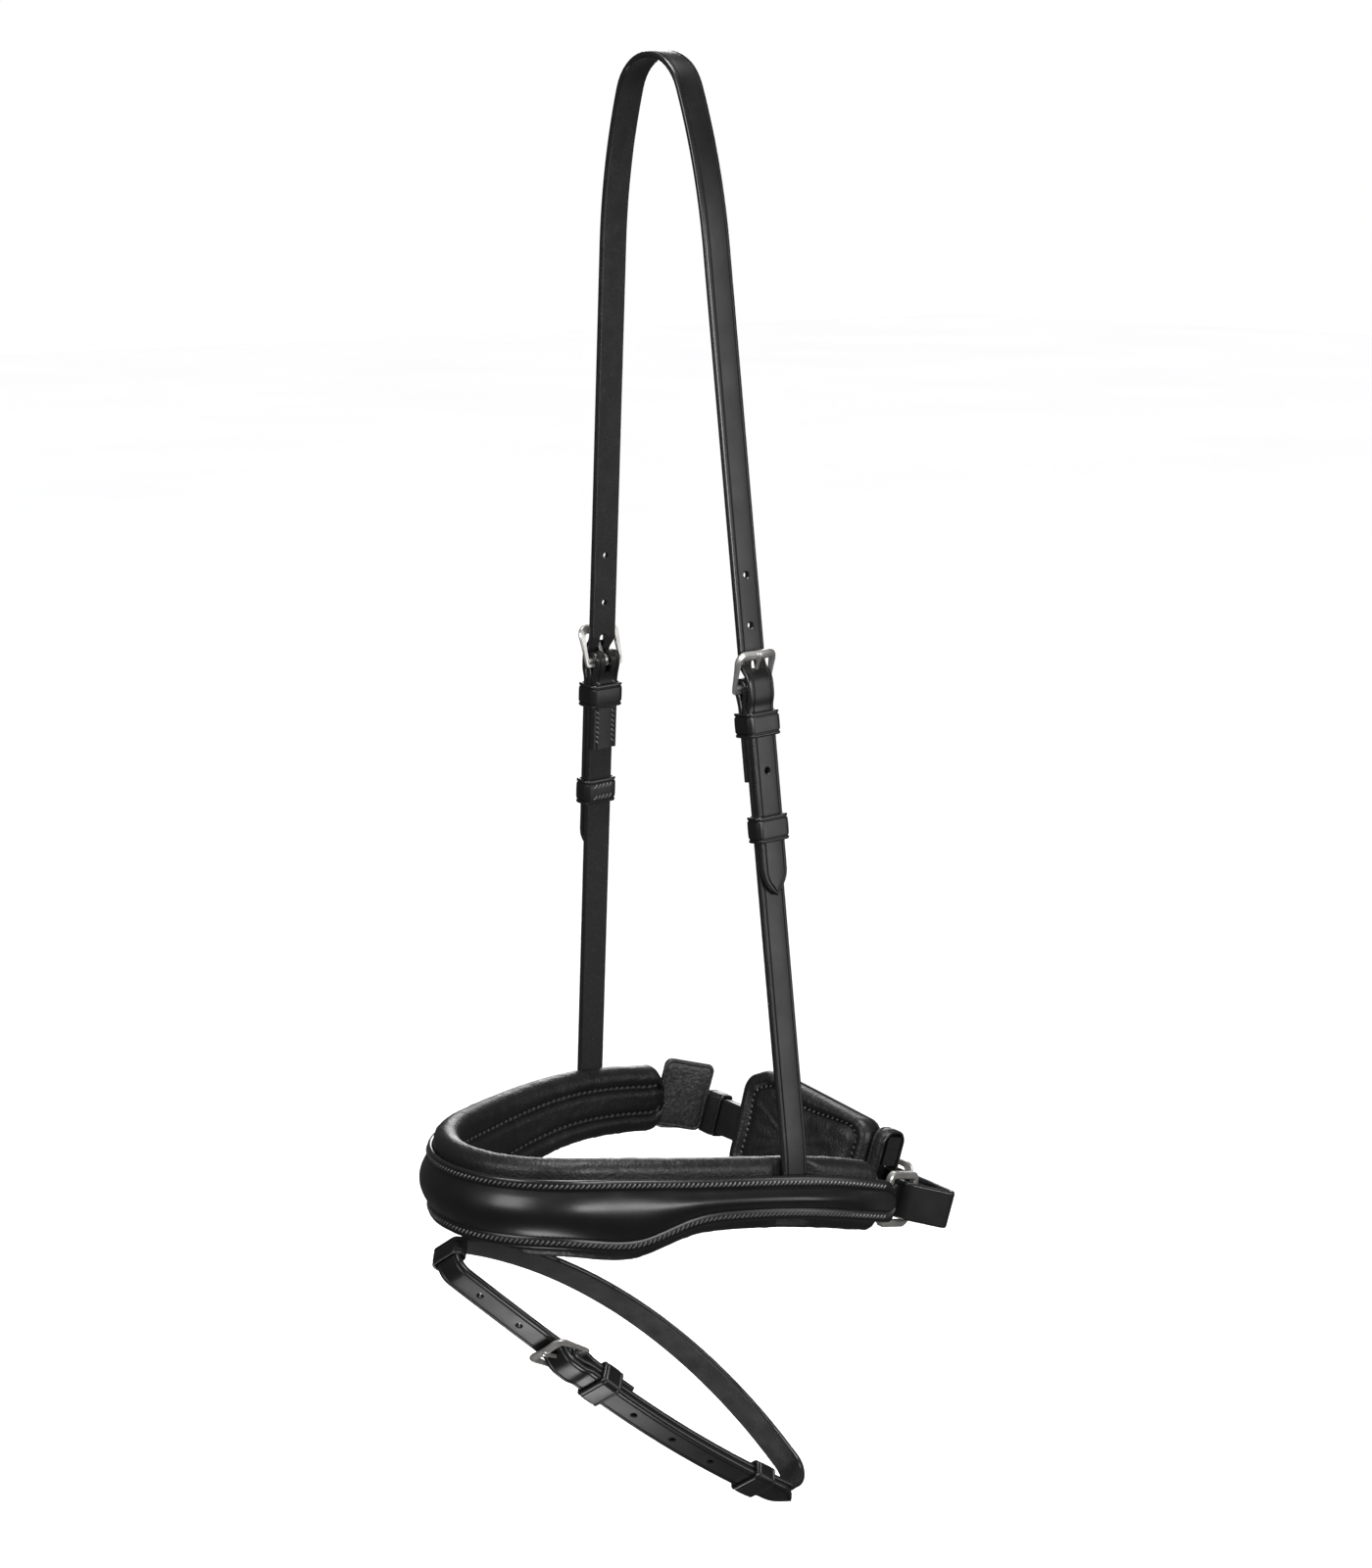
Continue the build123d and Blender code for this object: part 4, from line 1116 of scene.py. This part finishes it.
# ---- Jaw pad and far flap ----
def rounded_outline(corners, radius, count=7):
    """Closed outline through rounded corners."""
    points = []
    total = len(corners)
    for i in range(total):
        before, here, after = (Vector((*corners[(i + k) % total], 0)) for k in (-1, 0, 1))
        back = (before - here).normalized()
        on = (after - here).normalized()
        half = back.angle(on) / 2
        reach = min(radius / math.tan(half), 0.45 * (before - here).length, 0.45 * (after - here).length)
        turn = reach * math.tan(half)
        centre = here + (back + on).normalized() * (turn / math.sin(half))
        first = here + back * reach - centre
        last = here + on * reach - centre
        for k in range(count):
            share = k / (count - 1)
            arm = first.lerp(last, share).normalized() * turn
            points.append(centre + arm)
    even = []
    for a, b in zip(points, points[1:] + points[:1]):
        steps = max(int((b - a).length / 2.5), 1)
        even += [a.lerp(b, k / steps) for k in range(steps)]
    return even


def inset_outline(outline, inset):
    """The outline drawn in towards its middle by a distance."""
    middle = sum(outline, Vector()) / len(outline)
    arms = [p - middle for p in outline]
    return [middle + arm * max(1 - inset / arm.length, 0.0) for arm in arms]


def cushion(outline, front, back, rumple=0.0):
    """Closed form over an outline from two lists of (inset, height); heights are along local Y."""
    rows = []
    for inset, height in front[::-1] + back:
        row = []
        for x, z, _ in inset_outline(outline, inset):
            wave = noise.noise(Vector((x * 0.09, z * 0.30, height * 0.01)))
            wave += 0.6 * noise.noise(Vector((x * 0.26, z * 0.55, 3.7)))
            row.append((x, height + rumple * smooth((inset - 8) / 5) * wave, z))
        rows.append(row)
    points, faces, marks = skin(rows, [FACE] * len(outline))
    return points, faces, [FACE] * len(marks)


def pad_line(outline, inset, height):
    """Stitch line round the pad's face, towards the jaw."""
    normal = (CRANK.to_3x3() @ Vector((0, -1, 0))).normalized()
    line = [(CRANK @ Vector((x, height, z)), normal) for x, z, _ in inset_outline(outline, inset)]
    return line + line[:1]


def add_jaw_pad():
    """Padded cover with a stitched roll round its edge, and the firm plate behind it."""
    outline = rounded_outline(PAD_OUTLINE, 8.0)
    back = PAD_BACK - PAD_PLATE - 0.1
    front = PAD_BACK - PAD_THICK
    heights = [(0.35, 2.6), (1.3, 1.15), (2.8, 0.3), (4.4, 0.1), (5.8, 0.6), (6.9, 1.9), (7.4, 2.5),
               (7.9, 1.9), (9.2, 0.9), (11.5, 0.35), (14.0, 0.2), (17.0, 0.15), (20.0, 0.15), (24.0, 0.15),
               (60.0, 0.15)]
    roll = [(0.0, 0.5 * (back + front))] + [(inset, front + height) for inset, height in heights]
    under = [(0.4, back - 1.4), (1.4, back - 0.3), (3.5, back), (60.0, back)]
    cover = soft("jaw_pad_cover", moved(cushion(outline, roll, under, rumple=0.75), CRANK), PADDED_LOOK,
                 "jaw_pad", "jaw_pad_cover", "jaw_pad_foam", angle=80)
    thread("jaw_pad", [pad_line(outline, 7.4, front + 2.35)], "jaw_pad", "soft_leather", 2.6)
    front = PAD_BACK - PAD_PLATE
    face = [(0.0, PAD_BACK - 0.75), (0.3, PAD_BACK - 1.3), (0.9, front), (60.0, front)]
    rear = [(0.3, PAD_BACK - 0.3), (0.9, PAD_BACK), (60.0, PAD_BACK)]
    plate = moved(cushion(outline, face, rear), CRANK)
    leather("jaw_pad_back", plate, "jaw_pad", looks=[GRAIN, GRAIN, EDGE])
    add_pad_loops()


def add_pad_loops():
    """Loops of the jaw pad round the crank strap, and the soft tab in the near one."""
    low, high = NEAR_LOOP_SPACE[0]
    bottom, top = NEAR_LOOP_SPACE[1]
    lift = Matrix.Translation((0, 0, (top + bottom) / 2))
    place = CRANK @ spot((sum(NEAR_LOOP) / 2, 0)) @ lift
    near_loop = keeper(place, NEAR_LOOP[1] - NEAR_LOOP[0], low, high - 0.6, top - bottom,
                       wall=1.3, corner=4.5, crease=1.2, gap=0.0)
    soft("jaw_pad_near_loop", near_loop, SOFT_LOOK, "jaw_pad", "jaw_pad_near_loop")
    tab = strap(route((NEAR_LOOP[0] + 0.5, low + 1.6), 0, [("line", 6.0)]), 0.0, 9.0, 12.5)
    lift = Matrix.Translation((0, 0, 15.8))
    soft("jaw_pad_near_tab", moved(tab, CRANK @ lift), PADDED_LOOK, "jaw_pad")
    place = CRANK @ spot((sum(FAR_LOOP) / 2, 0))
    far_loop = keeper(place, FAR_LOOP[1] - FAR_LOOP[0], PAD_BACK + 1.05, CRANK_TOP + 0.4, 17.0,
                      wall=1.0, corner=1.2, crease=1.2, gap=0.0)
    soft("jaw_pad_far_loop", far_loop, SOFT_LOOK, "jaw_pad", "jaw_pad_far_loop")


def add_flap():
    """Soft leather tongue in front of the far ring."""
    thick, wide, tall = FLAP_SIZE
    corners = [(-wide / 2, -tall / 2), (wide / 2, -tall / 2), (wide / 2, tall / 2), (-wide / 2, tall / 2)]
    outline = rounded_outline(corners, 3.2)
    half = thick / 2
    front = [(0.0, 0.0), (0.25, 0.7 * half), (0.8, half), (1.5, half), (1.75, half - 0.28),
             (2.0, half - 0.02), (4.0, half + 0.08), (7.0, half + 0.3), (30.0, half + 0.35)]
    rear = [(0.25, -0.7 * half), (0.8, -half), (30.0, -half)]
    place = CRANK @ Matrix.Translation(FLAP_PLACE) @ turn_about("Z", -FLAP_TURN) @ turn_about("Z", -90)
    shape = moved(cushion(outline, front, rear), place)
    soft("far_ring_flap", shape, [FLAP_PAINTED_SHEEN, FLAP_PAINTED_SHEEN, EDGE], "headstall", "far_ring_flap")


add_jaw_pad()
add_flap()


# ---- Flash strap ----
def flash_strands():
    """Near strand above and below the buckle's bar."""
    start = math.radians(FLASH_START_HEADING)
    r = FLASH_END_RADIUS
    upper = route((r * (1 - math.sin(start)), r * math.cos(start)), FLASH_START_HEADING,
                  [("arc", FLASH_UPPER[0], -FLASH_UPPER[1]), ("line", RISE_START)])
    lower = route(*end_of(upper), [("line", SETTLE), ("arc", FLASH_LOWER[0], -FLASH_LOWER[1])])
    return upper, lower


upper_near, lower_near = flash_strands()
flash_bar, flash_heading = end_of(upper_near)


def far_strand_turns():
    """Right turns of the lower end, the far strand and the loop end that close the strap's ring."""
    (x, y), heading = end_of(lower_near)
    angle = math.radians(heading)
    radius = FLASH_END_RADIUS
    low = (x + radius * math.sin(angle), y - radius * math.cos(angle))
    high = (radius, 0)
    half = math.dist(low, high) / 2
    depth = math.sqrt((FLASH_FAR_RADIUS - radius) ** 2 - half ** 2)
    along = ((low[0] - high[0]) / (2 * half), (low[1] - high[1]) / (2 * half))
    centre = ((low[0] + high[0]) / 2 - along[1] * depth, (low[1] + high[1]) / 2 + along[0] * depth)
    leave = math.degrees(math.atan2(low[1] - centre[1], low[0] - centre[0])) - 90
    arrive = math.degrees(math.atan2(high[1] - centre[1], high[0] - centre[0])) - 90
    return (heading - leave) % 360, (leave - arrive) % 360, (arrive - FLASH_START_HEADING) % 360


def flash_legs():
    """Tail, fold, under layer, lower turn, far strand, loop turn, and billet down to its tip."""
    lower_turn, far_turn, loop_turn = far_strand_turns()
    around = [
        ("arc", FLASH_LOWER[0], -FLASH_LOWER[1]),
        ("arc", FLASH_END_RADIUS, -lower_turn),
        ("arc", FLASH_FAR_RADIUS, -far_turn),
        ("arc", FLASH_END_RADIUS, -loop_turn),
        ("arc", FLASH_UPPER[0], -FLASH_UPPER[1]),
    ]
    tail = [("arc", FLASH_LOWER[0], -math.degrees((FLASH_TAIL - SETTLE) / FLASH_LOWER[0]))]
    outer = FLASH_LOWER[0] + STACK
    billet = [("arc", outer, -math.degrees((FLASH_BILLET - SETTLE) / outer))]
    legs = chape(tail, around + billet_moves(STRAP_THICK) + billet)
    return set_at(legs, flash_bar, flash_heading)


def flash_spot(s):
    """Matrix on the near strand at a distance from the buckle's bar, in the base line's level."""
    to_bar = sum(leg[3] for leg in upper_near)
    place, heading = place_along(upper_near + lower_near, to_bar + s)
    return FLASH @ spot(place, heading)


def add_flash():
    """Flash strap with its buckle, keepers and the loop that hangs it under the nose."""
    legs = flash_legs()
    shape = strap(legs, 0.0, STRAP_THICK, STRAP_WIDTH, tips=(False, True))
    made = leather("flash_strap", moved(shape, FLASH), "flash")
    cutters = [slot_cutter(flash_spot(0)),
               hole_cutter(flash_spot(-HOLE_IN_USE), *USED_HOLE_LEVELS, USED_HOLE_LENGTH)]
    for count in (-2, -1, 1, 2, 3, 4):
        levels = SINGLE_LAYER if count < 0 else (STACK, OUTSIDE)
        cutters.append(hole_cutter(flash_spot(-HOLE_IN_USE + count * FLASH_PITCH), *levels))
    punch(made, cutters)
    add_buckle("flash", flash_spot(0), STRAP_WIDTH, "flash")
    add_keepers("flash", flash_spot(FLASH_KEEPER), flash_spot(FLASH_RUNNER), -LIFT, "flash")
    loop = keeper(FLASH @ spot((0, 0), 90), 8.0, -1.6, STRAP_THICK, STRAP_WIDTH, wall=1.4, corner=2.0)
    leather("flash_loop", loop, "flash")


add_flash()
tab_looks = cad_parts["flash_loop_tab"].data.materials
tab_looks.clear()
tab_looks.append(GRAIN)


# ---- Floor, light and camera, in metres ----
LOW, HIGH = (Vector(corner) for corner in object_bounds())
MIDDLE = (LOW + HIGH) / 2
NOSE_MIDDLE = (0.0, -0.05, -0.45)
FLASH_MIDDLE = (0.0, -0.05, -0.53)
CAMERA_PLACE = Vector((1.0614, -0.8765, -0.0353))
CAMERA_AIM = Vector((0.0069, 0.0083, -0.2904))
FLOOR_DROP = 0.30
FLOOR_REACH = 12.0


def in_scene(name, data, place=(0, 0, 0), aim=None):
    """Object for a mesh, lamp or camera that looks at a point."""
    made = bpy.data.objects.new(name, data)
    bpy.context.scene.collection.objects.link(made)
    made.location = place
    if aim is not None:
        made.rotation_euler = (Vector(aim) - Vector(place)).to_track_quat("-Z", "Y").to_euler()
    return made


def add_floor():
    """Pale floor well below the object, seen by the camera only."""
    mesh = bpy.data.meshes.new("studio_floor")
    signs = ((-1, -1), (1, -1), (1, 1), (-1, 1))
    corners = [(x * FLOOR_REACH, y * FLOOR_REACH, LOW.z - FLOOR_DROP) for x, y in signs]
    mesh.from_pydata(corners, [], [(0, 1, 2, 3)])
    floor = in_scene("studio_floor", mesh)
    mesh.materials.append(make_look("pale_floor", (0.86, 0.86, 0.87), 0.7, ((1.2, 2.0), (0.84, 0.84, 0.85))))
    floor.visible_glossy = False
    floor.visible_diffuse = False
    floor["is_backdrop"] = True
    return floor


def add_lamp(name, place, size, power, aim=MIDDLE):
    """Rectangular softbox that the camera doesn't see."""
    lamp = bpy.data.lights.new(name, "AREA")
    lamp.shape = "RECTANGLE"
    lamp.size, lamp.size_y = size
    lamp.energy = power
    in_scene(name, lamp, place, aim).visible_camera = False


def add_sun(floor):
    """Even light from above that keeps the pale floor pale."""
    lamp = bpy.data.lights.new("ceiling", "SUN")
    lamp.energy = 3.7
    lamp.angle = math.radians(70)
    lit = bpy.data.collections.new("lit_by_ceiling")
    lit.objects.link(floor)
    in_scene("ceiling", lamp).light_linking.receiver_collection = lit


def add_world():
    """White backdrop for the camera, with a dimmer even light on the object."""
    world = bpy.data.worlds.new("studio")
    bpy.context.scene.world = world
    world.use_nodes = True
    nodes = world.node_tree.nodes
    links = world.node_tree.links
    light = nodes["Background"]
    backdrop = nodes.new("ShaderNodeBackground")
    for node, strength in ((light, 0.07), (backdrop, 1.0)):
        node.inputs["Color"].default_value = (1, 1, 1, 1)
        node.inputs["Strength"].default_value = strength
    seen = nodes.new("ShaderNodeLightPath").outputs["Is Camera Ray"]
    mix = nodes.new("ShaderNodeMixShader")
    links.new(seen, mix.inputs["Fac"])
    links.new(light.outputs["Background"], mix.inputs[1])
    links.new(backdrop.outputs["Background"], mix.inputs[2])
    links.new(mix.outputs["Shader"], nodes["World Output"].inputs["Surface"])


def add_camera():
    camera = bpy.data.cameras.new("camera")
    camera.lens = 78.75
    camera.sensor_width = 36
    camera.clip_end = 50
    bpy.context.scene.camera = in_scene("camera", camera, CAMERA_PLACE, CAMERA_AIM)


add_world()
add_sun(add_floor())

# Name, place, size, watts and aim of each lamp
add_lamp("key_softbox", (0.22, -1.45, 0.25), (0.7, 0.8), 9, aim=NOSE_MIDDLE)
add_lamp("near_softbox", (1.29, -0.20, -0.05), (0.8, 0.35), 8, aim=NOSE_MIDDLE)
add_lamp("side_softbox", (1.25, 0.85, -0.25), (0.4, 1.1), 4)
add_lamp("top_softbox", (0.15, 0.05, 0.95), (0.7, 0.5), 13)
add_lamp("back_softbox", (-1.0, 0.9, 0.1), (0.5, 1.0), 7)
add_lamp("low_softbox", (0.025, -0.16, -0.85), (0.12, 0.13), 0.3, aim=FLASH_MIDDLE)
add_camera()
bpy.context.scene.view_settings.view_transform = "Standard"
